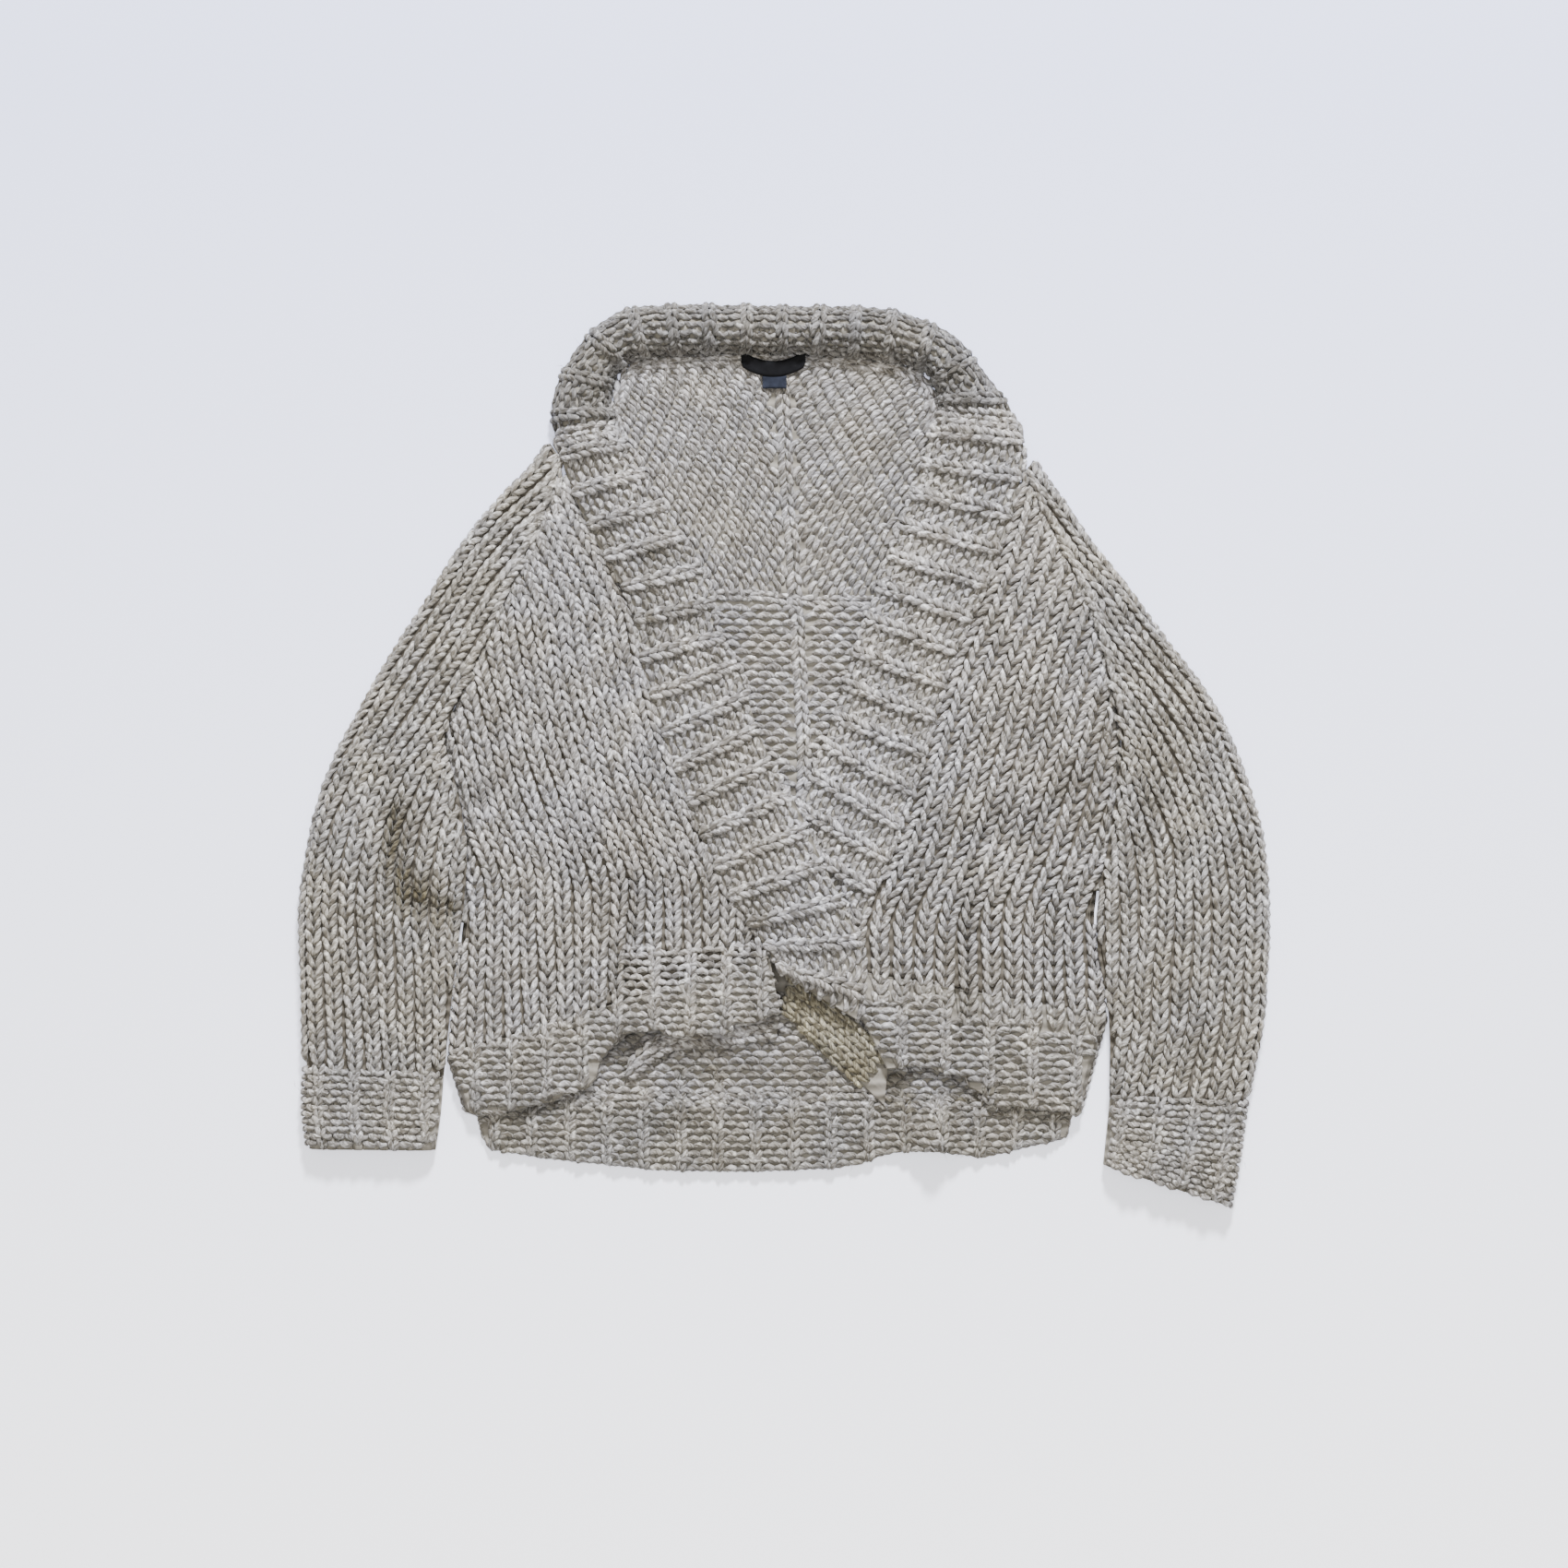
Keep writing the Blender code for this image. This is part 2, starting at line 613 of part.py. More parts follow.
def main():
    clear_scene()
    garment = bpy.data.collections.new("cardigan")
    bpy.context.scene.collection.children.link(garment)
    wool = material("light_wool", LIGHT_WOOL)
    inside = material("inside_wool", INSIDE_WOOL)
    black = material("label_black", LABEL_BLACK)
    navy = material("tag_navy", TAG_NAVY)

    make_back("back_yoke", BACK_YOKE, 15, 9, inside, garment, neck_edge)
    make_back("back_lower", BACK_LOWER, 14, 3, inside, garment)
    make_back_hem(inside, garment)

    make_sleeve("left_sleeve", LEFT_SLEEVE, 0, 21, wool, garment)
    make_sleeve("left_cuff", LEFT_CUFF, 4, 5, wool, garment)
    make_sleeve("right_sleeve", RIGHT_SLEEVE, 0, 21, wool, garment)
    make_sleeve("right_cuff", RIGHT_CUFF, 4, 5, wool, garment)

    left_rows = front_rows(LEFT_SLEEVE, LEFT_BAND, LEFT_FRONT_ENDS, -1, 22)
    right_rows = front_rows(RIGHT_SLEEVE, RIGHT_BAND, RIGHT_FRONT_ENDS, 1, 22)
    make_front("left_front", left_rows, left_under, wool, garment)
    make_front("right_front", right_rows, right_under, wool, garment)
    left_hem = hem_rows(left_rows, (-239, -266, -3, -192))
    right_hem = hem_rows(right_rows, (222, -268, 77, -234))
    make_front("left_hem_rib", left_hem, left_under, wool, garment, LEFT_HEM_FOOT, 9)
    mirrored = tuple((1 - place, y) for place, y in reversed(RIGHT_HEM_FOOT))
    make_front("right_hem_rib", right_hem, right_under, wool, garment, mirrored, 6)

    make_collar(wool, garment)
    make_band("left_band", LEFT_BAND, left_under, wool, garment)
    make_band("right_band", RIGHT_BAND, right_under, wool, garment)
    make_strip(wool, garment)
    make_roll(wool, garment)
    make_plate("label", LABEL_BOX, black, garment)
    make_plate("size_tag", TAG_BOX, navy, garment)


main()
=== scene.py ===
"""Looks of the chunky cardigan laid flat: yarn stitches over thin cloth shells, and the stage.

Plan coordinates and sizes in the tables are millimetres in the model's frame, and MM turns them into
metres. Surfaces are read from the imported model, so every stitch lies on the piece that carries it.
"""

import math
import random

import bmesh
import bpy
import numpy as np
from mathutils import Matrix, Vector
from mathutils.bvhtree import BVHTree

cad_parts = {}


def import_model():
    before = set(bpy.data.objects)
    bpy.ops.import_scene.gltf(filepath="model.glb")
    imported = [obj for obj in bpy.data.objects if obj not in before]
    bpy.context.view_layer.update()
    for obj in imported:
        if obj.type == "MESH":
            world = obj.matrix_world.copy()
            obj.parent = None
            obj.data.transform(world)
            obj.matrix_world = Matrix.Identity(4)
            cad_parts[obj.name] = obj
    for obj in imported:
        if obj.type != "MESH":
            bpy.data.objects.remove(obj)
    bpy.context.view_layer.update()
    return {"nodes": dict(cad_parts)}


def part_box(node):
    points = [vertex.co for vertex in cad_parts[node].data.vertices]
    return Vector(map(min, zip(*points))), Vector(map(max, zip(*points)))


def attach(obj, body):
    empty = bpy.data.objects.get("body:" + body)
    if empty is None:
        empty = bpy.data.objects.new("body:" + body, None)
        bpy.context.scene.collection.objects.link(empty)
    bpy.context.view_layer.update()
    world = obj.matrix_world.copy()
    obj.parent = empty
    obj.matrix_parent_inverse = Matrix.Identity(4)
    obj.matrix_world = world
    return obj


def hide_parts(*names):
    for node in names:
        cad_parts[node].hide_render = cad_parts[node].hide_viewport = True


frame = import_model()

MM = 0.001
ROW = 8.4  # height of one knit row
PURL_ROW = 5.5  # distance between rows of purl bumps
PURL_WIDTH = 9.5  # distance between the bumps of a row between ribs
YARN = 2.2  # radius of the yarn
RIB_PITCH = 26.5
RIB_COLUMN = 9.5  # width of the drawn-in knit column on a rib
RIB_ROW = 7.6
RIDGE_LIFT = 1.3  # how much more the ribs of the bands and the collar stand out
FIBRE = 9.0  # longest loose fibre
FIBRE_HALF_WIDTH = 0.13
FUZZ = 0.035  # loose fibres for each point of the yarn
SINK = 1.6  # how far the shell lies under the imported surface, so that gaps between stitches are deep
RIB_SINK = 0.7  # the same under ribs and purl, where less of it is seen
REACH = 6.5  # how far past a piece's edge a point of a stitch may still be asked for
EDGE_REACH = 3.5  # how far past it the foot of a stitch may be
WRAP = 1.4  # how far out past the edge such a point lies, as the yarn turns down over it
FLOOR_GAP = 0.3  # yarn stays this far above the floor
RAY_HEIGHT = 200.0  # where rays that look down start, above every layer
MID_HEIGHT = 12.0  # the nearest point to a place in plan is sought from here
OVER = 1.1  # a purl bump's width as a share of the distance between bumps
STAND_IN = 0.45  # half a rib's knit column that its neighbours leave free, as a share of its width
STRAND_SIDES = 7
BUMP_SIDES = 6
SQUASH = 0.86  # a strand's height as a share of its width
LIFTED_FROM = 5.6  # the parts of a wall above this height follow the creases
SHELL_CUTS = 3  # how finely a creased shell is divided
PHOTO_PIXEL = 0.69  # size of a pixel of the photo
PHOTO_SIDE = 1700  # its pixels on a side
FRAME_CENTRE_Y = -21.0
CAMERA_HEIGHT = 2.6  # metres above the cloth
CLOTH_MIDDLE = 0.012

# Painted shade: creases and the painted-shade spots darken and brown the wool's colour.
DEPTH_FOR_DARKEST = 5.0  # how deep a crease darkens the wool as much as a shade of 1
MOST_PAINTED_SHADE = 1.4

rng = random.Random(7)
UP = Vector((0, 0, 1))
DOWN = Vector((0, 0, -1))
RIGHTWARDS = np.array((1.0, 0.0))
FORWARDS = np.array((0.0, 1.0))

# Soft folds of the worn cloth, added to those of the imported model.
CREASES = (
    # x0, y0, x1, y1, half_width, height
    (-112, -95, -127, -175, 10, -3.4),
    (-92, -80, -98, -150, 14, 2.2),
    (-150, -60, -170, -170, 18, 1.8),
    (-190, 60, -222, -30, 12, -2.6),
    (-168, 90, -206, 0, 14, 2.4),
    (-140, 190, -122, 120, 7, -3.6),
    (140, -56, 136, -215, 8, -3.6),
    (160, -80, 156, -215, 13, 2.0),
    (170, -38, 214, 4, 8, 2.2),
    (150, -60, 192, -12, 8, -3.2),
    (182, -60, 226, -14, 7, -2.8),
    (105, 10, 92, -110, 14, 2.2),
    (205, -60, 200, -190, 15, 2.0),
)
SLEEVE_CREASES = (
    (-293, -48, -285, -104, 9, -5.2),
    (-281, -112, -248, -118, 8, -4.2),
    (-268, -34, -262, -92, 11, 3.2),
    (-318, -70, -312, -120, 15, 2.0),
    (-300, 40, -275, -20, 13, 2.2),
    (300, -60, 308, -190, 14, 2.2),
    (282, 20, 270, -60, 12, -2.6),
)
PAINTED_SHADE_SPOTS = (
    # x, y, half_width, half_height, amount: painted shade, places where the wool is darkened and browned to
    # stand for shade
    (-90, 150, 17, 12, 0.8),
    (-80, 112, 22, 10, 0.5),
    (-278, -100, 20, 15, 1.0),
    (-262, -112, 16, 10, 0.9),
    (-293, -60, 9, 30, 0.5),
    (238, 0, 9, 28, 0.8),
    (222, -42, 12, 30, 0.5),
    (-140, 278, 16, 20, 0.5),
    (130, 280, 14, 24, 0.5),
    (-116, -222, 14, 17, 1.1),
    (-60, -233, 50, 9, 0.8),
    (20, -238, 50, 14, 0.7),
    (-95, -268, 26, 12, 0.6),
    (80, -250, 12, 20, 1.0),
    (92, -268, 5, 24, 1.2),
    (130, -268, 5, 22, 1.1),
    (150, -250, 34, 8, 0.9),
    (-188, -262, 40, 6, 0.9),
    (-100, 95, 6, 60, 0.5),
    (-62, -60, 7, 60, 0.6),
    (-22, -125, 7, 35, 0.8),
    (100, -20, 6, 70, 0.4),
)


def smoothstep(low, high, value):
    share = min(max((value - low) / (high - low), 0.0), 1.0)
    return share * share * (3.0 - 2.0 * share)


def unit(vector):
    size = math.hypot(*vector)
    return np.array(vector, float) / size


def on_line(table, y):
    """x on a line given as (y, x) rows that rise in y."""
    ys, xs = zip(*table)
    return float(np.interp(y, ys, xs))


def catmull(table, count):
    """A smooth curve through the rows of a table, read at even places."""
    rows = np.array(table, float)
    ends = np.vstack([2 * rows[0] - rows[1], rows, 2 * rows[-1] - rows[-2]])
    read = []
    for place in np.linspace(0, 1, count):
        along = min(place * (len(rows) - 1), len(rows) - 1 - 1e-9)
        first = int(along)
        t = along - first
        a, b, c, d = ends[first : first + 4]
        curve = 2 * b + (c - a) * t
        curve = curve + (2 * a - 5 * b + 4 * c - d) * t**2
        curve = curve + (3 * b - a - 3 * c + d) * t**3
        read.append(curve / 2)
    return np.array(read)


def measure(points):
    """Distance down a line of plan points, at each of them."""
    return np.concatenate([[0.0], np.cumsum(np.hypot(*np.diff(points, axis=0).T))])


def crease_height(x, y, creases):
    total = 0.0
    for x0, y0, x1, y1, half_width, height in creases:
        run_x = x1 - x0
        run_y = y1 - y0
        share = ((x - x0) * run_x + (y - y0) * run_y) / (run_x**2 + run_y**2)
        near = min(max(share, 0.0), 1.0)
        away = math.hypot(x - x0 - near * run_x, y - y0 - near * run_y)
        total += height * math.exp(-((away / half_width) ** 2))
    return total


def painted_shade_at(x, y):
    """How much painted shade darkens the wool here, from the creases and the painted-shade spots."""
    total = max(-crease_height(x, y, CREASES + SLEEVE_CREASES), 0.0) / DEPTH_FOR_DARKEST
    for x0, y0, half_width, half_height, amount in PAINTED_SHADE_SPOTS:
        total += amount * math.exp(-(((x - x0) / half_width) ** 2) - ((y - y0) / half_height) ** 2)
    return min(total, MOST_PAINTED_SHADE)


def wobble(x, y):
    """Slow unevenness of hand-knit cloth, as a shift in plan."""
    across = 1.1 * math.sin(x / 31 + y / 47) + 0.8 * math.sin(x / 13 - y / 21)
    along = 0.9 * math.sin(x / 27 - y / 35) + 0.6 * math.sin(x / 11 + y / 16)
    return np.array((across, along))


def add(name, data):
    """A new object of the scene that holds this data."""
    made = bpy.data.objects.new(name, data)
    bpy.context.scene.collection.objects.link(made)
    return made


class Ground:
    """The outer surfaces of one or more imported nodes, read by rays, in millimetres."""

    def __init__(self, *names, creases=()):
        self.creases = creases
        self.trees = {}
        self.points = {}
        self.ends = {}
        for name in names:
            mesh = frame["nodes"][name].data
            points = np.array([v.co for v in mesh.vertices]) / MM
            faces = [tuple(p.vertices) for p in mesh.polygons]
            self.points[name] = points
            self.trees[name] = BVHTree.FromPolygons([Vector(p) for p in points], faces)
            edges = np.array([tuple(e.vertices) for e in mesh.edges])
            self.ends[name] = points[edges]

    def owner(self, x, y):
        """The node whose top is highest here, or else the nearest one, or None away from them all."""
        best = None
        height = -1.0
        for name, tree in self.trees.items():
            hit = tree.ray_cast(Vector((x, y, RAY_HEIGHT)), DOWN)[0]
            if hit is not None and hit.z > height:
                best = name
                height = hit.z
        if best is not None:
            return best
        near = EDGE_REACH
        for name, tree in self.trees.items():
            place = tree.find_nearest(Vector((x, y, MID_HEIGHT)))[0]
            away = math.hypot(place.x - x, place.y - y)
            if away < near:
                best = name
                near = away
        return best

    def above(self, x, y):
        """The top point and its normal. Just past an edge it falls away from that edge."""
        best = None
        for tree in self.trees.values():
            place, normal, _, _ = tree.ray_cast(Vector((x, y, RAY_HEIGHT)), DOWN)
            if place is not None and (best is None or place.z > best[0].z):
                best = place, normal
        if best is None:
            best = self.beside(x, y)
        if best is None:
            return None
        place, normal = best
        if self.creases:
            lift = crease_height(x, y, self.creases)
            place = place + Vector((0, 0, max(lift, 1.0 - place.z)))
        return place, normal

    def beside(self, x, y):
        """Past an edge: the yarn turns down over it and stays close to it."""
        near = None
        for tree in self.trees.values():
            place = tree.find_nearest(Vector((x, y, MID_HEIGHT)))[0]
            away = math.hypot(place.x - x, place.y - y)
            if away < REACH and (near is None or away < near[1]):
                near = place, away
        if near is None:
            return None
        place, away = near
        outwards = Vector((x - place.x, y - place.y, 0)) / max(away, 1e-6)
        out = min(away, WRAP)
        z = max(place.z - 0.3 * out - 1.1 * (away - out), 2.0)
        spot = Vector((place.x, place.y, 0)) + outwards * out
        return Vector((spot.x, spot.y, z)), (outwards * 0.7 + Vector((0, 0, 0.7))).normalized()

    def toward(self, start, direction):
        best = None
        for tree in self.trees.values():
            place, normal, _, far = tree.ray_cast(Vector(start), Vector(direction))
            if place is not None and (best is None or far < best[2]):
                best = place, normal, far
        return None if best is None else best[:2]

    def span(self, name, place, axis=0):
        """Lowest and highest y where a node crosses this x, or x where it crosses this y with axis 1."""
        a = self.ends[name][:, 0]
        b = self.ends[name][:, 1]
        crosses = (a[:, axis] - place) * (b[:, axis] - place) <= 0
        crosses &= np.abs(a[:, axis] - b[:, axis]) > 1e-6
        if not crosses.any():
            return None
        a = a[crosses]
        b = b[crosses]
        share = (place - a[:, axis]) / (b[:, axis] - a[:, axis])
        found = a[:, 1 - axis] + share * (b[:, 1 - axis] - a[:, 1 - axis])
        return float(found.min()), float(found.max())


class Yarn:
    """Collects tubes of yarn for one piece, with a place along and round each strand and its tone, which
    holds random tone and painted shade.
    """

    def __init__(self):
        self.points = []
        self.faces = []
        self.places = []
        self.tones_and_painted_shade = []

    def strand(self, path, radii, normal, sides=STRAND_SIDES, tone=None):
        """A tube along the path. The tone is drawn where it isn't given, and is lowered by painted shade in
        creases and the painted-shade spots.
        """
        path = [Vector(p) for p in path]
        normal = Vector(normal)
        start = len(self.points)
        tone = rng.random() if tone is None else tone
        middle = path[len(path) // 2]
        # Painted shade: the tone falls in creases and the painted-shade spots.
        tone = max(0.5 + 0.5 * tone - 0.45 * painted_shade_at(middle.x, middle.y), 0.0)
        turn = rng.random() * 10
        length = 0.0
        for i, (here, radius) in enumerate(zip(path, radii)):
            before = path[max(i - 1, 0)]
            after = path[min(i + 1, len(path) - 1)]
            along = (after - before).normalized()
            side = along.cross(normal).normalized()
            up = side.cross(along).normalized()
            length += (here - before).length
            for k in range(sides):
                angle = 2 * math.pi * k / sides
                offset = side * math.cos(angle) * radius + up * math.sin(angle) * radius * SQUASH
                point = here + offset
                point.z = max(point.z, FLOOR_GAP)
                self.points.append(point)
                self.places.append((length / 10 + turn, k / sides))
                self.tones_and_painted_shade.append(tone)
        for i in range(len(path) - 1):
            for k in range(sides):
                a = start + i * sides + k
                b = start + i * sides + (k + 1) % sides
                self.faces.append((a, b, b + sides, a + sides))
        last = start + (len(path) - 1) * sides
        self.faces.append(tuple(start + k for k in reversed(range(sides))))
        self.faces.append(tuple(last + k for k in range(sides)))

    def fuzz(self, share):
        """Loose fibres that stand off the yarn, each a thin bent ribbon."""
        count = int(len(self.points) * share)
        for _ in range(count):
            root = self.points[rng.randrange(len(self.points))]
            if root.z < 3.0:
                continue
            heading = Vector((rng.uniform(-1, 1), rng.uniform(-1, 1), rng.uniform(0.1, 0.9))).normalized()
            bend = Vector((rng.uniform(-1, 1), rng.uniform(-1, 1), rng.uniform(-1.2, 0.2)))
            length = rng.uniform(3.0, FIBRE)
            side = heading.cross(bend).normalized() * FIBRE_HALF_WIDTH
            start = len(self.points)
            tone = rng.uniform(0.6, 1.0)
            for t in (0.0, 0.35, 0.7, 1.0):
                spot = root + heading * length * t + bend * length * 0.4 * t * t
                spot.z = max(spot.z, FLOOR_GAP)
                for edge in (-side, side):
                    self.points.append(spot + edge * (1.05 - t))
                    self.places.append((t, 0.5))
                    self.tones_and_painted_shade.append(tone)
            for k in range(3):
                a = start + 2 * k
                self.faces.append((a, a + 1, a + 3, a + 2))

    def make(self, name, look, slot):
        mesh = bpy.data.meshes.new(name)
        mesh.from_pydata([p * MM for p in self.points], [], self.faces)
        layer = mesh.uv_layers.new(name="strand")
        corner = np.empty(len(mesh.loops), dtype=np.int64)
        mesh.loops.foreach_get("vertex_index", corner)
        layer.data.foreach_set("uv", np.array(self.places)[corner].ravel())
        # The tone attribute holds random tone and painted shade.
        tone = mesh.attributes.new("tone", "FLOAT", "POINT")
        tone.data.foreach_set("value", self.tones_and_painted_shade)
        mesh.shade_smooth()
        mesh.materials.append(look)
        made = add(name, mesh)
        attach(made, "root")
        return made


# A knit stitch's leg and a purl bump: shares of the stitch's width and height, lift and thickness
LEG = (
    # across, along, lift, thickness
    (0.04, -0.22, -2.0, 0.50),
    (0.12, 0.14, 0.0, 0.86),
    (0.23, 0.56, 1.0, 1.05),
    (0.32, 0.98, 0.5, 0.94),
    (0.38, 1.36, -2.0, 0.50),
)
BUMP = (
    # across, bow, lift, thickness
    (-0.52, -1.6, -1.5, 0.55),
    (-0.28, 0.3, 0.5, 0.92),
    (0.0, 1.2, 1.1, 1.04),
    (0.28, 0.3, 0.5, 0.92),
    (0.52, -1.6, -1.5, 0.55),
)


def top_normal(surface, at):
    hit = surface(at[0], at[1])
    return hit[1] if hit else UP


def knit_stitch(yarn, surface, at, across, along, width, height, size=1.0, raised=0.0):
    """A V of two legs. across and along are plan vectors of the column's width and the row's height."""
    tone = rng.random()
    normal = top_normal(surface, at)
    for side in (-1, 1):
        stretch = 1 + rng.uniform(-0.10, 0.10)
        thick = 1 + rng.uniform(-0.10, 0.08)
        lean = rng.uniform(-0.035, 0.035)
        path = []
        for u, v, lift, _ in LEG:
            u = side * (u + lean) * width
            point = at + across * u + along * v * height * stretch
            hit = surface(point[0], point[1])
            if hit is None:
                break
            path.append(hit[0] + hit[1] * (lift * size + raised))
        if len(path) < 4:
            continue
        radii = [YARN * size * thick * step[3] for step in LEG[: len(path)]]
        yarn.strand(path, radii, normal, tone=min(max(tone + rng.uniform(-0.15, 0.15), 0), 1))


def purl_bump(yarn, surface, at, across, along, width, size=1.0, bow=1.0):
    """One bump of a purl row: a short bowed strand that lies across its column."""
    bend = bow * rng.uniform(0.6, 1.4)
    slant = rng.uniform(-0.14, 0.22)
    path = []
    for u, v, lift, _ in BUMP:
        point = at + across * u * width + along * (v * bend + u * width * slant)
        hit = surface(point[0], point[1])
        if hit is None:
            return
        path.append(hit[0] + hit[1] * lift)
    thick = 1.02 * size * rng.uniform(0.88, 1.10)
    radii = [YARN * thick * step[3] for step in BUMP]
    yarn.strand(path, radii, top_normal(surface, at), sides=BUMP_SIDES)


def purl_rows(pick, surface, first, last, low, high, count):
    """Rows of purl bumps in a surface's own two directions. pick gives the yarn for a place, or None."""
    step = (last - first) / count
    v = low
    j = 0
    while v < high:
        for k in range(count + (j % 2)):
            u = first + step * (k + (0.0 if j % 2 else 0.5))
            at = np.array((u, v + rng.uniform(-0.4, 0.4)))
            yarn = pick(*at)
            if yarn is not None:
                purl_bump(yarn, surface, at, RIGHTWARDS, FORWARDS, step * OVER)
        v += PURL_ROW
        j += 1


def purl_field(yarn, surface, first, last, low, high):
    """Purl rows between two knit columns, all in one yarn."""

    def pick(u, v):
        return None if surface(u, v) is None else yarn

    purl_rows(pick, surface, first, last, low, high, max(round((last - first) / PURL_WIDTH), 1))


def cover(yarns, ground, left, right, low, high):
    """A purl patch over several nodes, each bump in the yarn of the node that it lies on."""

    def pick(x, y):
        return yarns.get(ground.owner(x, y))

    purl_rows(pick, ground.above, left, right, low, high, 2)


EDGE_STEP = 6.5  # distance between the bumps of a hem's foot
EDGE_BUMP = ((-0.6, -1.2, 0.6), (0.0, 0.6, 0.95), (0.6, -1.2, 0.6))  # share of a step, lift, thickness


def follow(points):
    """The distance down a line of plan points, and a function that gives place and direction at one."""
    down = measure(points)

    def place(v):
        here = np.array([np.interp(v, down, c) for c in points.T])
        after = np.array([np.interp(min(v + 2, down[-1]), down, c) for c in points.T])
        return here, unit(after - here)

    return down[-1], place


def chain(yarn, surface, line, width, height, size=1.0):
    """A column of V stitches that follows a line of plan points."""
    length, place = follow(catmull(line, 120))
    v = 0.0
    while v < length - 1:
        here, along = place(v)
        across = np.array((along[1], -along[0]))
        if surface(*here) is not None:
            knit_stitch(yarn, surface, here, across, along, width, height, size)
        v += height


def edge_row(yarn, ground, node):
    """Bumps along the foot of a hem, which cover the cut side of its wall."""
    xs = ground.points[node][:, 0]
    line = []
    for x in np.linspace(xs.min() + 0.6, xs.max() - 0.6, 90):
        line.append((x, ground.span(node, x)[0] + 0.4))
    length, place = follow(np.array(line))
    v = EDGE_STEP / 2
    while v < length:
        here, along = place(v)
        hit = ground.above(here[0], here[1] + 1.5)
        if hit is not None:
            middle = hit[0].z / 2
            path = [Vector((*(here + along * EDGE_STEP * u), middle + lift)) for u, lift, _ in EDGE_BUMP]
            yarn.strand(path, [YARN * thick for _, _, thick in EDGE_BUMP], UP, sides=BUMP_SIDES)
        v += EDGE_STEP


# Yarn and cloth materials

class Look:
    """A material, and short ways to build its nodes."""

    def __init__(self, name, rough, specular=None):
        self.made = bpy.data.materials.new(name)
        self.made.use_nodes = True
        self.nodes = self.made.node_tree.nodes
        self.link = self.made.node_tree.links.new
        self.shader = self.nodes["Principled BSDF"]
        self.shader.inputs["Roughness"].default_value = rough
        if specular is not None:
            self.shader.inputs["Specular IOR Level"].default_value = specular

    def place(self):
        return self.nodes.new("ShaderNodeTexCoord").outputs["Object"]

    def split(self, vector):
        node = self.nodes.new("ShaderNodeSeparateXYZ")
        self.link(vector, node.inputs[0])
        return node.outputs

    def mix(self, kind, blend, factor, first, second):
        node = self.nodes.new("ShaderNodeMix")
        node.data_type = kind
        if kind == "RGBA":
            node.blend_type = blend
            inputs = node.inputs[6], node.inputs[7]
            output = node.outputs[2]
        else:
            inputs = node.inputs[2], node.inputs[3]
            output = node.outputs[0]
        for socket, value in zip((node.inputs[0],) + inputs, (factor, first, second)):
            if isinstance(value, bpy.types.NodeSocket):
                self.link(value, socket)
            else:
                socket.default_value = value
        return output

    def multiply(self, factor, first, second):
        return self.mix("RGBA", "MULTIPLY", factor, first, second)

    def ramp(self, source, *stops):
        """Colours at places from 0 to 1. A single number stands for a grey."""
        node = self.nodes.new("ShaderNodeValToRGB")
        self.link(source, node.inputs[0])
        elements = node.color_ramp.elements
        while len(elements) < len(stops):
            elements.new(0.5)
        for element, (place, colour) in zip(elements, stops):
            element.position = place
            element.color = tuple(colour) + (1,) if isinstance(colour, tuple) else (colour,) * 3 + (1,)
        return node.outputs[0]

    def noise(self, vector, scale, detail, stretch=None):
        if stretch is not None:
            node = self.nodes.new("ShaderNodeMapping")
            node.inputs["Scale"].default_value = stretch
            self.link(vector, node.inputs[0])
            vector = node.outputs[0]
        node = self.nodes.new("ShaderNodeTexNoise")
        node.inputs["Scale"].default_value = scale
        node.inputs["Detail"].default_value = detail
        self.link(vector, node.inputs["Vector"])
        return node.outputs[0]

    def colour(self, source):
        self.link(source, self.shader.inputs["Base Color"])

    def bump(self, height, distance, strength=1.0):
        node = self.nodes.new("ShaderNodeBump")
        node.inputs["Strength"].default_value = strength
        node.inputs["Distance"].default_value = distance
        self.link(height, node.inputs["Height"])
        self.link(node.outputs[0], self.shader.inputs["Normal"])


TWIST = 0.55  # turns of the plies for each unit of length along the strand


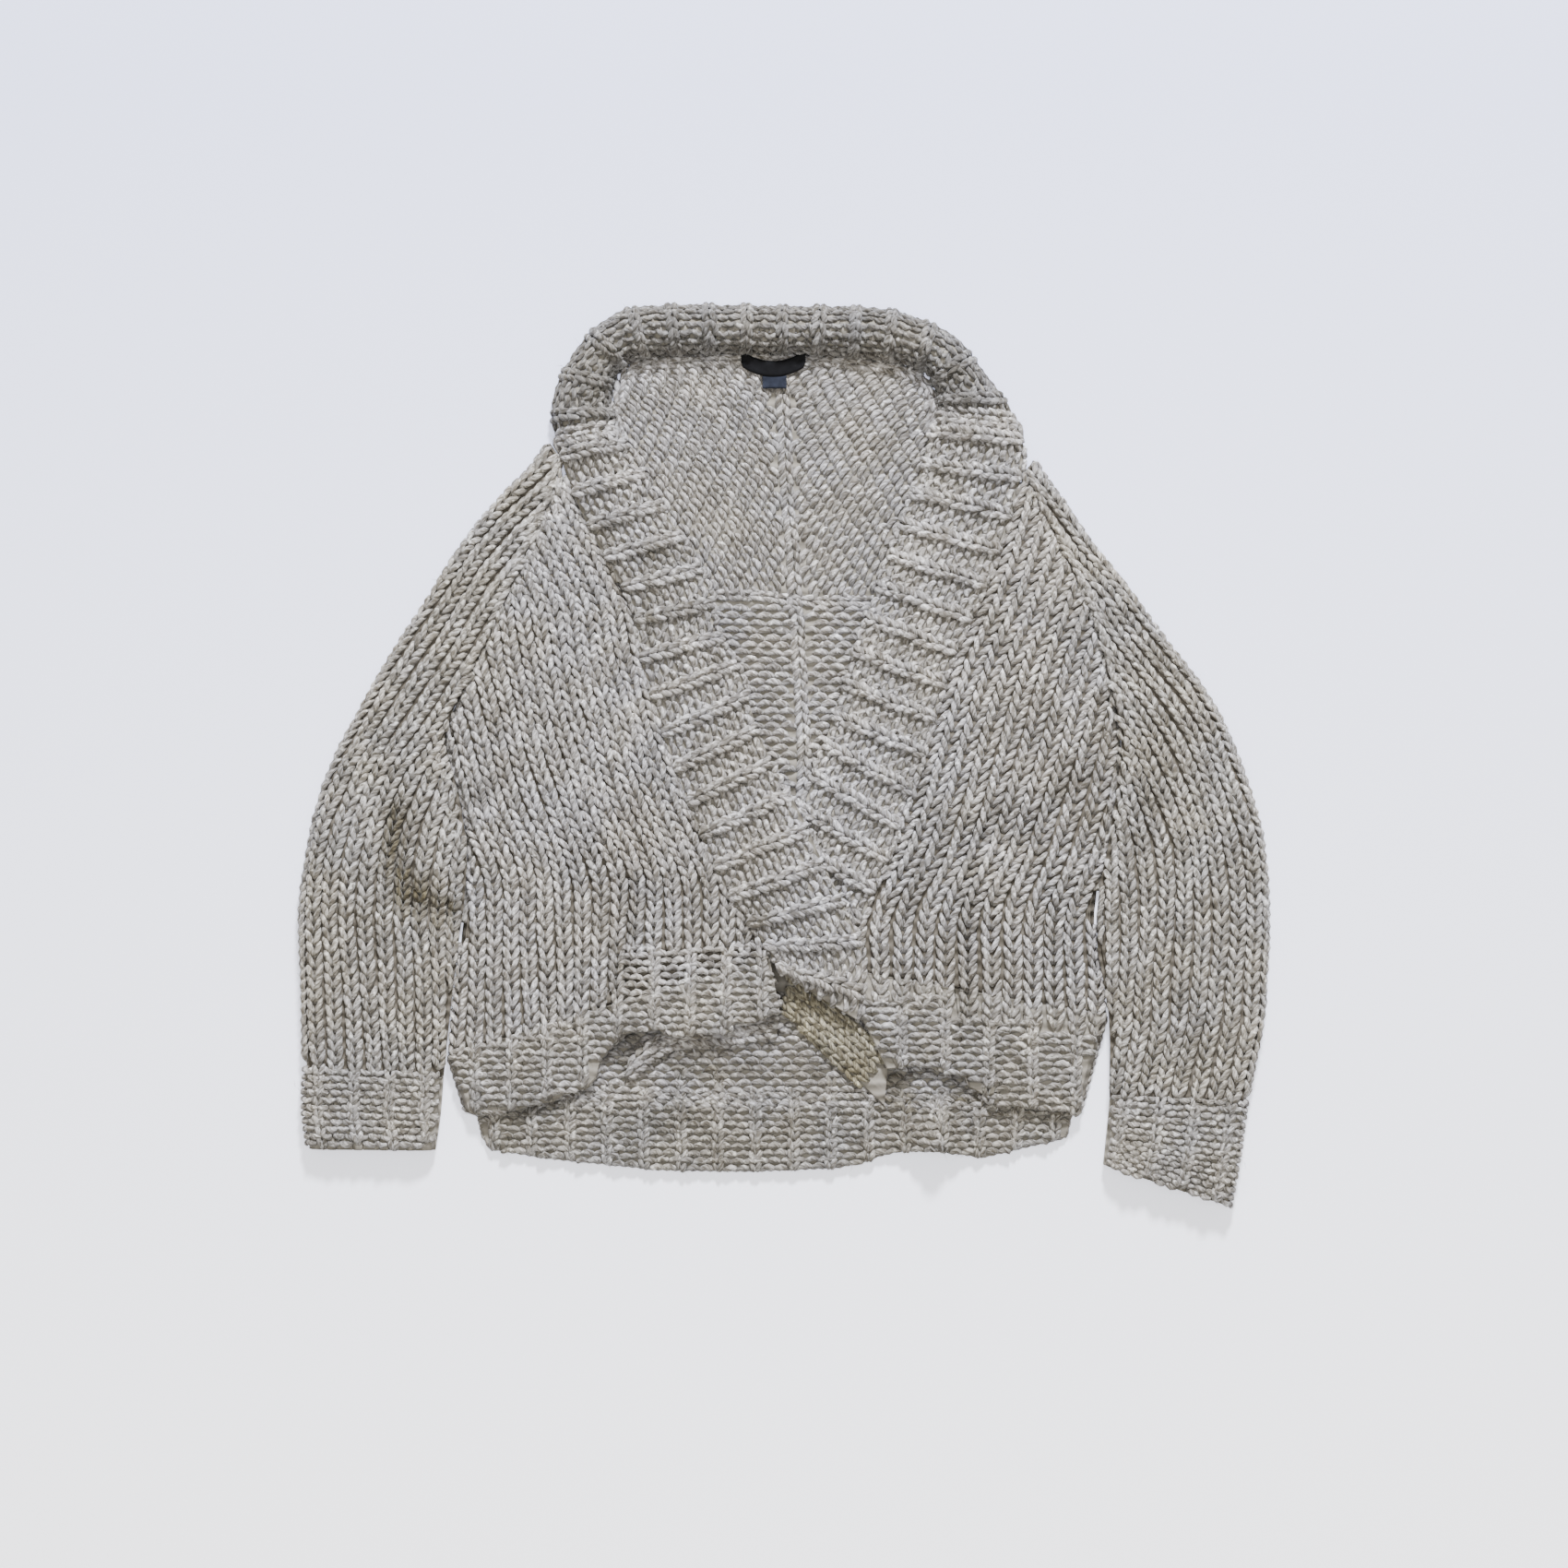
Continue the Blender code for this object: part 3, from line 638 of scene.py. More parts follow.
def yarn_material(name, light, dark, fleck):
    """Heathered brushed wool: twisted plies, streaks of fibre along the strand and pale flecks, darkened and
    browned where the tone attribute holds painted shade.
    """
    look = Look(name, 0.94, 0.12)
    look.shader.inputs["Sheen Weight"].default_value = 0.22
    look.shader.inputs["Sheen Roughness"].default_value = 0.5
    places = look.nodes.new("ShaderNodeUVMap")
    places.uv_map = "strand"
    along, round_it = look.split(places.outputs[0])[:2]
    twist = look.nodes.new("ShaderNodeMath")
    twist.operation = "MULTIPLY_ADD"
    look.link(along, twist.inputs[0])
    twist.inputs[1].default_value = TWIST
    look.link(round_it, twist.inputs[2])
    tone = look.nodes.new("ShaderNodeAttribute")
    tone.attribute_name = "tone"
    joined = look.nodes.new("ShaderNodeCombineXYZ")
    for source, socket in zip((along, twist.outputs[0], tone.outputs["Fac"]), joined.inputs):
        look.link(source, socket)
    streak = look.noise(joined.outputs[0], 1.0, 2.0, (2.0, 6.0, 50.0))
    fibre = look.noise(joined.outputs[0], 1.0, 3.0, (3.4, 17.0, 50.0))
    where = look.place()
    body = look.ramp(streak, (0.40, dark), (0.60, light))
    body = look.multiply(0.9, body, look.ramp(fibre, (0.34, (0.55, 0.54, 0.52)), (0.64, 1.35)))
    flecks = look.ramp(look.noise(where, 260.0, 2.0), (0.58, 0.0), (0.70, 1.0))
    body = look.mix("RGBA", "MIX", flecks, body, fleck)
    # Painted shade: a low tone turns the wool dark and brown.
    tone_ramp_with_painted_shade = (0.0, (0.34, 0.31, 0.22)), (0.5, (0.70, 0.69, 0.67)), (1.0, 1.22)
    body = look.multiply(1.0, body, look.ramp(tone.outputs["Fac"], *tone_ramp_with_painted_shade))
    warmth = look.ramp(look.noise(where, 26.0, 2.0), (0.36, (1.03, 1.0, 0.94)), (0.64, (0.98, 0.99, 1.04)))
    look.colour(look.multiply(1.0, body, warmth))
    look.bump(look.mix("FLOAT", None, 0.45, streak, fibre), 0.0012, 0.8)
    return look.made


def shell_material(name, colour, deep):
    """The cloth under the stitches: the wool's colour darkened as painted shade for the gaps, darker again
    in the ripple's troughs as painted shade, with a knitted ripple for its plain sides.
    """
    look = Look(name, 0.97, 0.1)
    where = look.place()
    wave = look.nodes.new("ShaderNodeTexWave")
    wave.bands_direction = "Y"
    for setting, value in (("Scale", 34.0), ("Distortion", 2.6), ("Detail", 2.0)):
        wave.inputs[setting].default_value = value
    look.link(where, wave.inputs["Vector"])
    cells = look.nodes.new("ShaderNodeTexVoronoi")
    cells.inputs["Scale"].default_value = 120.0
    look.link(where, cells.inputs["Vector"])
    height = look.mix("FLOAT", None, 0.5, wave.outputs["Fac"], cells.outputs["Distance"])
    look.colour(look.ramp(height, (0.15, deep), (0.75, colour)))
    look.bump(height, 0.002)
    return look.made


def tape_material(name, colour, rough):
    """A narrow woven tape with a satin face."""
    look = Look(name, rough, 0.15)
    where = look.place()
    weave = look.nodes.new("ShaderNodeTexWave")
    weave.inputs["Scale"].default_value = 600.0
    look.link(where, weave.inputs["Vector"])
    lighter = tuple(min(c * 1.8, 1.0) for c in colour)
    look.colour(look.ramp(look.noise(where, 180.0, 3.0), (0.35, colour), (0.8, lighter)))
    look.bump(weave.outputs["Fac"], 0.0002)
    return look.made


LIGHT_FIBRE = (0.41, 0.398, 0.404)
DARK_FIBRE = (0.15, 0.138, 0.125)
PALE_FLECK = (0.66, 0.65, 0.65)


def wool(name, share, painted_shade_olive=0.0):
    """The garment's wool, lighter or darker by a share, and browner by the third argument, which is painted
    shade.
    """
    painted_shade_browning = (1.0, 1.0 - 0.05 * painted_shade_olive, 1.0 - 0.30 * painted_shade_olive)

    def scaled(colour):
        return tuple(c * share * t for c, t in zip(colour, painted_shade_browning))

    return yarn_material(name, scaled(LIGHT_FIBRE), scaled(DARK_FIBRE), scaled(PALE_FLECK) + (1,))


# Copies of the wool for the pieces; the browning of some of them is painted shade.
WOOL = wool("wool", 0.95)
INNER_WOOL = wool("inner_wool", 0.90)
SLEEVE_WOOL = wool("sleeve_wool", 0.86, 0.22)
RIB_WOOL = wool("rib_wool", 0.84, 0.15)
COLLAR_WOOL = wool("collar_wool", 0.46, 0.10)
HEM_WOOL = wool("hem_wool", 0.72, 0.2)
# Painted shade: the turned strip's wool, darkened and browned for the shadow of the layer above it.
TURNED_STRIP_SHADE_WOOL = wool("turned_strip_shade_wool", 0.72, 0.9)
# Painted shade: dark cloth that shows in the gaps between stitches.
PAINTED_SHADE_CLOTH = shell_material("cloth", (0.13, 0.115, 0.095), (0.06, 0.052, 0.041))
PAINTED_SHADE_RIB_CLOTH = shell_material("rib_cloth", (0.26, 0.24, 0.21), (0.17, 0.155, 0.13))


DEEP_KNIT = ("left_front", "right_front", "left_sleeve", "right_sleeve")
ON_FLOOR = 0.0002  # metres below which a point of a wall lies on the floor and stays there
DOWN_MORE = 1.3  # the shell follows a hollow by this share of it, and a ridge by the lesser one
UP_LESS = 0.7


def shell(node, creases=()):
    """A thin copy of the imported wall, drawn in a little on every side, that stands for it."""
    mesh = frame["nodes"][node].data.copy()
    mesh.name = node + "_cloth"
    if creases:
        work = bmesh.new()
        work.from_mesh(mesh)
        bmesh.ops.subdivide_edges(work, edges=work.edges[:], cuts=SHELL_CUTS, use_grid_fill=True)
        work.to_mesh(mesh)
        work.free()
    points = np.array([v.co for v in mesh.vertices])
    normals = np.array([n.vector for n in mesh.vertex_normals])
    plain = node in DEEP_KNIT
    moved = points - normals * (SINK if plain else RIB_SINK) * MM
    moved[:, 2] = np.where(points[:, 2] < ON_FLOOR, points[:, 2], moved[:, 2])
    for i in range(len(moved) if creases else 0):
        lift = crease_height(points[i, 0] / MM, points[i, 1] / MM, creases) * MM
        if points[i, 2] > LIFTED_FROM * MM and abs(normals[i, 2]) > 0.3:
            lowest = (1.0 if normals[i, 2] > 0 else 0.7) * LIFTED_FROM * MM
            moved[i, 2] = max(moved[i, 2] + min(lift * DOWN_MORE, lift * UP_LESS), lowest)
    mesh.vertices.foreach_set("co", moved.ravel())
    mesh.materials.clear()
    mesh.materials.append(PAINTED_SHADE_CLOTH if plain else PAINTED_SHADE_RIB_CLOTH)
    mesh.shade_smooth()
    mesh.update()
    made = add(node + "_cloth", mesh)
    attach(made, "root")
    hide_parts(node)
    return made


def wall_area(piece):
    """The area of one face of a thin wall."""
    mesh = piece.data
    mesh.calc_loop_triangles()
    return sum(t.area for t in mesh.loop_triangles) / 2


# Fronts: knit columns above, and ribs that grow out of them below

LEFT_BAND_LINE = (
    # y, x of the band's seam edge
    (-163, -1), (-148, -11), (-133, -21), (-108, -40), (-73, -57), (-39, -71), (-2, -85),
    (35, -97), (74, -108), (110, -113), (136, -127), (168, -145), (206, -162), (226, -168),
)
RIGHT_BAND_LINE = (
    (-160, 38), (-125, 57), (-99, 69), (-70, 81), (-35, 94), (3, 106), (39, 116), (74, 127),
    (104, 141), (141, 157), (179, 170), (217, 179), (244, 178),
)
LEFT_RIB_TOP = ((-236, -226), (-160, -208), (-128, -196), (-116, -152), (0, -149))
RIGHT_RIB_TOP = ((70, -188), (127, -190), (138, -204), (224, -214))


def front_knit(front, hem, band_line, still_y, ribs, margins, rib_top):
    """Yarns of a front and its hem. Columns stand upright below still_y and lean with the band above."""
    ground = Ground(front, hem, creases=CREASES)
    yarns = {front: Yarn(), hem: Yarn()}
    hem_points = ground.points[hem]
    first = hem_points[:, 0].min() + margins[0]
    last = hem_points[:, 0].max() - margins[1]
    pitch = (last - first) / ribs
    top = ground.points[front][:, 1].max()
    foot = hem_points[:, 1].min()
    still_x = on_line(band_line, still_y)
    xs, ys = zip(*rib_top)
    for k in range(-9, 2 * ribs + 9):
        base_x = first + (k + 1) * pitch / 2
        crest = k % 2 == 0 and 0 <= k < 2 * ribs
        follow = 1.0 - 0.3 * min(abs(base_x - still_x) / 200.0, 1.0)

        def column_x(y):
            grow = smoothstep(still_y - 20, still_y + 60, y)
            return base_x + grow * follow * (on_line(band_line, y) - on_line(band_line, still_y))

        y = foot - ROW * rng.uniform(0.2, 0.6)
        ribbed_to = np.interp(base_x, xs, ys)
        while y < top + ROW:
            ribbed = y < ribbed_to
            height = RIB_ROW if ribbed else ROW
            width = RIB_COLUMN if ribbed else pitch / 2
            x = column_x(y)
            along = unit((column_x(y + height) - x, height))
            across = np.array((along[1], -along[0]))
            owner = ground.owner(x, y + height * 0.4)
            if owner is not None and (crest or not ribbed):
                at = np.array((x, y)) + (wobble(x, y) if not ribbed else wobble(x, y) * 0.4)
                size = 0.95 if ribbed else 1.0
                knit_stitch(yarns[owner], ground.above, at, across, along, width, height, size)
            y += height * along[1]
    edge_row(yarns[hem], ground, hem)
    for k in range(ribs + 1):
        left = first + (k - 0.5) * pitch + RIB_COLUMN * STAND_IN
        right = first + (k + 0.5) * pitch - RIB_COLUMN * STAND_IN
        middle = (left + right) / 2
        span = ground.span(hem, min(max(middle, hem_points[:, 0].min() + 1), hem_points[:, 0].max() - 1))
        limit = np.interp(middle, xs, ys) + 8
        cover(yarns, ground, left, right, span[0] + 1.0, limit)
    return yarns


# Sleeves with their cuffs: the outer edge, the inner edge and the tube's height from neck to wrist

LEFT_SLEEVE_EDGE = (
    # outer_x, outer_y, inner_x, inner_y, height
    (-176.5, 235, -168.8, 225, 11.5),
    (-184, 224, -170.5, 208, 11.5),
    (-192, 214, -177, 187, 12.0),
    (-214, 192, -193, 153, 12.5),
    (-242, 157, -208, 118, 13.5),
    (-269, 113, -225, 82, 14.5),
    (-297, 70, -242, 46, 15.5),
    (-319, 30, -254, 13, 17.0),
    (-338, -6, -247, -15, 19.0),
    (-351, -45, -238, -59, 21.0),
    (-357, -77, -238, -94, 21.0),
    (-362, -116, -242, -125, 19.0),
    (-361, -155, -247, -166, 18.0),
    (-360, -187, -251, -201, 18.0),
    (-359, -236, -255, -240, 17.5),
    (-360, -266, -257, -268, 17.5),
    (-356, -294, -261, -295, 17.0),
)
RIGHT_SLEEVE_EDGE = (
    (188, 222, 180.5, 213, 11.5),
    (195, 210, 184, 204, 11.5),
    (208, 193, 193, 185, 12.0),
    (231, 158, 212, 148, 12.5),
    (259, 124, 229, 113, 13.5),
    (284, 88, 239, 77, 14.5),
    (310, 55, 247, 41, 15.5),
    (331, 20, 252, 8, 17.0),
    (346, -21, 248, -32, 18.5),
    (357, -56, 243, -66, 19.0),
    (361, -95, 236, -101, 19.0),
    (362, -135, 234, -139, 18.5),
    (360, -166, 240, -172, 18.0),
    (359, -195, 244, -201, 18.0),
    (352, -228, 244, -232, 18.0),
    (346, -261, 244, -256, 17.5),
    (341, -297, 241, -287, 17.5),
    (334, -337, 239, -306, 17.0),
)
CUFF_ROWS = 2  # rows at the end of each table that belong to the cuff
CLOSED_FROM = 0.42  # share of a sleeve's length above which its top is sewn to the front
ROUND_SLEEVE = 180  # no column starts further round than this


def read_row(grid, v):
    return [np.interp(v, grid.down, column) for column in grid.rows.T]


class Tube:
    """A sleeve's outside as a grid: distance down its outer edge, and round from beneath the fold."""

    def __init__(self, sleeve, cuff, front, table):
        self.ground = Ground(sleeve, cuff, creases=SLEEVE_CREASES)
        self.seam = Ground(sleeve, front)
        self.rows = np.array(table, float)
        self.down = measure(self.rows[:, :2])
        self.length = self.down[-1]
        self.cuff_start = self.down[-1 - CUFF_ROWS]
        self.closed_from = self.length * CLOSED_FROM

    def section(self, v):
        """Outer point, unit vector inwards, width and height at this distance down."""
        row = read_row(self, v)
        outer = np.array(row[:2])
        inwards = np.array(row[2:4]) - outer
        width = math.hypot(*inwards)
        return outer, inwards / width, width, row[4]

    def point(self, u, v):
        """The point at u mm round the fold and over the top, or None past the inner edge."""
        if v < -2 or v > self.length + 2.5:
            return None
        v = min(max(v, 0.0), self.length)
        outer, inwards, width, height = self.section(v)
        turn = height / 2
        quarter = math.pi * turn / 2
        centre = outer + inwards * turn
        if u < 2 * quarter:
            angle = math.pi / 2 * (u / quarter - 1)
            reach = Vector((*(-inwards * math.cos(angle)), math.sin(angle)))
            return self.hit(centre, turn, reach)
        over = u - 2 * quarter
        inner = width - turn - over
        if v > self.closed_from:
            if inner < -0.5 * turn:
                return None
            if inner < turn * 0.8:
                angle = min((turn * 0.8 - inner) / turn, 1.4)
                centre = outer + inwards * (width - turn)
                return self.hit(centre, turn, Vector((*(inwards * math.sin(angle)), math.cos(angle))))
        elif inner < -3.5:
            return None
        x, y = centre + inwards * over
        if v < self.closed_from and inner < 5:
            return self.seam.above(x, y)
        return self.ground.above(x, y)

    def hit(self, centre, turn, reach):
        start = Vector((*centre, turn)) + reach * 60
        found = self.ground.toward(start, -reach)
        if found is None:
            return None
        place, normal = found
        lift = crease_height(place.x, place.y, SLEEVE_CREASES) * max(reach.z, 0.0)
        return place + Vector((0, 0, lift)), normal


def sleeve_knit(sleeve, cuff, front, table):
    tube = Tube(sleeve, cuff, front, table)
    yarns = {sleeve: Yarn(), cuff: Yarn()}
    k = 0
    pitch = RIB_PITCH / 2
    while k * pitch < ROUND_SLEEVE:
        u = 4.0 + k * pitch
        crest = k % 2 == 0
        v = rng.uniform(0, ROW) - ROW / 2
        while v < tube.length + 2:
            ribbed = v > tube.cuff_start
            height = RIB_ROW if ribbed else ROW
            if crest or not ribbed:
                owner = cuff if ribbed else sleeve
                shift = wobble(u * 1.3, v) * (0.3 if ribbed else 0.9)
                at = np.array((u, v)) + shift
                if tube.point(*at) is not None:
                    width = RIB_COLUMN if ribbed else pitch
                    size = 0.95 if ribbed else 1.0
                    knit_stitch(yarns[owner], tube.point, at, RIGHTWARDS, -FORWARDS, width, height, size)
            v += height
        if crest:
            half = RIB_COLUMN * STAND_IN
            right = u + RIB_PITCH - half
            purl_field(yarns[cuff], tube.point, u + half, right, tube.cuff_start - 2, tube.length)
        k += 1
    seam = [(x, y) for _, _, x, y, _ in table if y > 30]
    chain(yarns[sleeve], tube.seam.above, seam, 11.0, 9.0)
    inwards = 1.5 if table[0][0] < 0 else -1.5
    for shift in (0.0, 2.0):
        under = [(x + inwards * (1 + shift / 2), y, 5.0 + shift) for _, _, x, y, _ in table if -135 < y < 50]
        path = [Vector(p) for p in catmull(under, 60)]
        yarns[sleeve].strand(path, [YARN] * len(path), UP)
    return yarns


# Ribbed bands and collar

class Strip:
    """A band or collar as a grid: millimetres along its middle, and a share across from its first edge."""

    def __init__(self, node, table, arch=False):
        self.ground = Ground(node)
        self.rows = catmull(table, 240)
        self.down = measure((self.rows[:, 0:2] + self.rows[:, 2:4]) / 2)
        self.length = self.down[-1]
        self.arch = arch

    def ends(self, v):
        row = read_row(self, v)
        return np.array(row[0:2]), np.array(row[2:4])

    def width(self, v):
        a, b = self.ends(v)
        return math.hypot(*(b - a))

    def point(self, share, v):
        if v < -4 or v > self.length + 4 or share < -0.06 or share > 1.06:
            return None
        past = v - min(max(v, 0.0), self.length)
        v -= past
        a, b = self.ends(v)
        if past:
            inner = 4.0 if past < 0 else -4.0
            step = unit(sum(self.ends(v)) - sum(self.ends(v + inner))) * abs(past)
            a = a + step
            b = b + step
        if not self.arch:
            x, y = a + (b - a) * share
            return self.ground.above(x, y)
        across = unit(b - a)
        middle = (a + b) / 2
        angle = math.pi * (0.05 + 0.90 * share)
        reach = Vector((*(-across * math.cos(angle)), math.sin(angle)))
        return self.ground.toward(Vector((*middle, 0.0)) + reach * 70, -reach)


COLLAR = (
    # outer_x, outer_y, inner_x, inner_y
    (-172, 238, -126, 246),
    (-173, 261, -130, 261),
    (-168, 281, -130, 275),
    (-157, 301, -126, 288),
    (-139, 322, -117, 295),
    (-117, 334, -106, 299),
    (-83, 337, -79, 301),
    (-41, 337, -41, 302),
    (0, 336, 0, 302),
    (41, 336, 38, 300),
    (76, 334, 74, 297),
    (103, 326, 98, 292),
    (128, 313, 109, 286),
    (146, 291, 114, 277),
    (162, 270, 116, 268),
    (175, 251, 114, 257),
)
LEFT_BAND = (
    # seam_x, seam_y, free_x, free_y
    (-172, 236.6, -126, 244.6),
    (-166, 221, -117, 232),
    (-162, 206, -110, 220),
    (-145, 168, -90, 184),
    (-127, 136, -69, 151),
    (-113, 110, -55, 123),
    (-108, 74, -48, 90),
    (-97, 35, -32, 61),
    (-85, -2, -23, 28),
    (-71, -39, -8, -8),
    (-57, -73, 12, -42),
    (-40, -108, 30, -82),
    (-21, -133, 48, -119),
    (-11, -148, 59, -152),
    (-1, -163, 54, -197),
)
RIGHT_BAND = (
    (175.5, 249.4, 114.5, 255.4),
    (179, 234, 110, 241),
    (179, 217, 106, 226),
    (170, 179, 97, 196),
    (157, 141, 84, 163),
    (141, 104, 71, 129),
    (127, 74, 60, 99),
    (116, 39, 48, 65),
    (106, 3, 38, 32),
    (94, -35, 28, 3),
    (81, -70, 14, -30),
    (69, -99, 1, -59),
    (57, -125, -10, -90),
    (38, -160, -8, -128),
)


def strip_ribs(node, table, arch=False, arc=1.0):
    """Ribs that cross a band: a narrow knit column along each crest, and purl bumps between crests."""
    strip = Strip(node, table, arch)
    yarn = Yarn()
    count = round(strip.length / RIB_PITCH)
    pitch = strip.length / count
    half = RIB_COLUMN * STAND_IN
    for k in range(count + 1):
        crest = (k + 0.5) * pitch
        middle = min(max(k * pitch, 0.0), strip.length)
        width = strip.width(middle) * arc

        def between(a, b, width=width):
            return strip.point(b / width, a)

        low = max(crest - pitch + half, -3.0)
        high = min(crest - half, strip.length + 3.0)
        purl_field(yarn, between, low, high, -1.0, width + 1.0)
        if k < count:
            rib_across(yarn, strip, crest, arc)
    return yarn


def rib_across(yarn, strip, crest, arc):
    """The knit column that runs across the band on a crest."""
    width = strip.width(crest) * arc
    rows = max(round(width / RIB_ROW), 3)
    height = width / rows

    def surface(a, b):
        return strip.point(b / width, crest + a)

    for j in range(rows):
        at = np.array((rng.uniform(-0.4, 0.4), (j + 0.05) * height))
        knit_stitch(yarn, surface, at, RIGHTWARDS, FORWARDS, RIB_COLUMN, height, 1.1, RIDGE_LIFT)


# Back: reverse stockinette

YOKE_CENTRE = ((118, 8), (150, 7), (190, 3), (250, 0), (305, -3))  # y, x of the ridge
BIAS = ((118, 64), (200, 54), (305, 40))  # y, angle of the rows from level
YOKE_ROW = 5.9  # level distance between rows


YOKE_BUMP = 10.6  # width of a bump on the yoke
YOKE_STEP = 11.2  # distance between the bumps of a row
COLLAR_HOLLOWS = (((-128, 266), (-125, 250), (-119, 236)), ((114, 268), (111, 256), (107, 242)))


def yoke_knit():
    """Purl rows on the bias that mirror about a raised centre ridge, and the seam at their foot."""
    ground = Ground("back_yoke", "back_lower")
    yarn = Yarn()
    heights = np.linspace(112, 305, 200)
    angles = np.radians([on_line(BIAS, y) for y in heights])
    sideways = np.concatenate([[0.0], np.cumsum(np.diff(heights) / np.tan(angles[:-1]))])
    along_row = np.concatenate([[0.0], np.cumsum(np.diff(heights) / np.sin(angles[:-1]))])
    for side in (-1, 1):
        for j in range(-34, 36):
            start = j * YOKE_ROW
            v = 6.0 if j % 2 else 0.0
            v += rng.uniform(-1.0, 1.0)
            while v < along_row[-1]:
                y = np.interp(v, along_row, heights)
                away = start + np.interp(v, along_row, sideways)
                angle = math.radians(on_line(BIAS, y))
                x = on_line(YOKE_CENTRE, y) + side * away
                at = np.array((x, y)) + wobble(x, y) * 0.6
                if away > 6 and y > 121 and ground.trees["back_yoke"].ray_cast(
                    Vector((*at, RAY_HEIGHT)), DOWN
                )[0]:
                    across = np.array((side * math.cos(angle), math.sin(angle)))
                    along = np.array((-side * math.sin(angle), math.cos(angle)))
                    purl_bump(yarn, ground.above, at, across, along, YOKE_BUMP, 0.98, 0.7)
                v += YOKE_STEP
    ridge = [(x, y) for y, x in YOKE_CENTRE]
    chain(yarn, ground.above, ridge[::-1], 12.0, 8.4, 1.05)
    # Strands in the hollows at the collar's inner corners, given a low tone as painted shade.
    for line in COLLAR_HOLLOWS:
        for shift in (-1.5, 1.5):
            path = [Vector((x + shift, y, 5.0)) for x, y in catmull(line, 12)]
            yarn.strand(path, [YARN] * len(path), UP, tone=0.3)
    seam = ((-92, 122), (-60, 121), (-20, 120), (10, 117), (45, 116), (90, 116))
    chain(yarn, ground.above, seam, 9.0, 9.5, 0.95)
    return yarn


BACK_RIBS = 16
TALL_RIBS = (5, 6, 9, 10)  # ribs of the back hem that show further up between the fronts


def back_knit():
    """Yarns of the lower back and of its ribbed hem."""
    ground = Ground("back_lower", "back_hem_rib")
    yarns = {"back_lower": Yarn(), "back_hem_rib": Yarn()}
    lower = yarns["back_lower"]
    bump_rows(lower, ground.above, -75, 84, -38, 115, (12, 7))
    bump_rows(lower, ground.above, -228, 222, -262, -178, None)
    chain(lower, ground.above, ((9, 114), (12, 60), (15, 0), (14, -40)), 12.0, 8.2, 1.05)
    ribs = BACK_RIBS
    points = ground.points["back_hem_rib"]
    left = points[:, 0].min()
    pitch = (points[:, 0].max() - left) / ribs
    hem = yarns["back_hem_rib"]
    edge_row(hem, ground, "back_hem_rib")
    for k in range(ribs + 1):
        crest = left + (k + 0.5) * pitch
        if k < ribs:
            span = ground.span("back_hem_rib", crest)
            rise = 12 if k in TALL_RIBS else 2
            y = span[0] - 1.5
            while y < span[1] + rise:
                at = np.array((crest, y)) + wobble(crest, y) * 0.4
                knit_stitch(hem, ground.above, at, RIGHTWARDS, FORWARDS, RIB_COLUMN, RIB_ROW, 0.95)
                y += RIB_ROW
        place = min(max(left + k * pitch, left + 2), left + ribs * pitch - 2)
        span = ground.span("back_hem_rib", place)
        half = pitch / 2 - RIB_COLUMN * STAND_IN
        purl_field(hem, ground.above, place - half, place + half, span[0] + 1, span[1] + 2)
    return yarns


BACK_STEP = 12.0  # distance between the bumps of a row on the lower back


def bump_rows(yarn, surface, left, right, low, high, skip):
    """Level rows of purl bumps, each second one shifted. skip is the x and half width of a ridge."""
    j = 0
    y = low
    while y < high:
        x = left + (BACK_STEP / 2 if j % 2 else 0.0) + rng.uniform(-1, 1)
        while x < right:
            at = np.array((x, y)) + wobble(x, y) * 0.5
            away = skip is None or abs(x - skip[0]) > skip[1]
            if away and surface(*at) is not None:
                purl_bump(yarn, surface, at, RIGHTWARDS, FORWARDS, BACK_STEP, 1.05)
            x += BACK_STEP
        y += PURL_ROW
        j += 1


def corner_knit():
    """Columns that run along the turned strip, the last of them over its curled lower edge."""
    ground = Ground("turned_corner")
    yarn = Yarn()
    start = np.array((2.0, -161.0))
    end = np.array((77.0, -225.0))
    along = unit(end - start)
    across = np.array((along[1], -along[0]))
    for away in (0.5, 9.5, 18.5, 27.0):
        shift = across * away
        chain(yarn, ground.above, (start + shift, (start + end) / 2 + shift, end + shift), 10.5, 8.2)
    return yarn


def roll_knit():
    """Two rows along the edge of the layer that shows under the left front's hem."""
    ground = Ground("under_hem")
    yarn = Yarn()
    line = ((-117, -241), (-103, -227), (-87, -217), (-68, -213), (-38, -211), (-8, -207))
    chain(yarn, ground.above, line, 10.0, 8.0, 1.15)
    chain(yarn, ground.above, [(x + 2, y + 8) for x, y in line], 10.0, 8.0, 1.1)
    return yarn


def neck_chain():
    """The picked-up stitches that run along the foot of the collar."""
    ground = Ground("back_yoke", "collar")
    yarn = Yarn()
    line = (
        (-124, 262), (-123, 276), (-118, 286), (-108, 292), (-79, 295), (-40, 297), (0, 297),
        (38, 295), (73, 291), (95, 286), (104, 280), (109, 271), (109, 262),
    )

    def surface(x, y):
        hit = ground.above(x, y)
        return None if hit is None else (Vector((x, y, min(hit[0].z, 9.0) + 1.0)), UP)

    chain(yarn, surface, line, 8.5, 9.5, 0.95)
    return yarn


LABEL_MIDDLE = (-8.0, 293.0)
LABEL_HALF = 24.0
LABEL_SAG = 8.0
LABEL_DEPTH = 12.0
TAG_MIDDLE = (-7.0, 280.0)
TAG_HALF = 9.0
TAG_DEPTH = 9.5
TAPE_THICKNESS = 0.0007  # metres


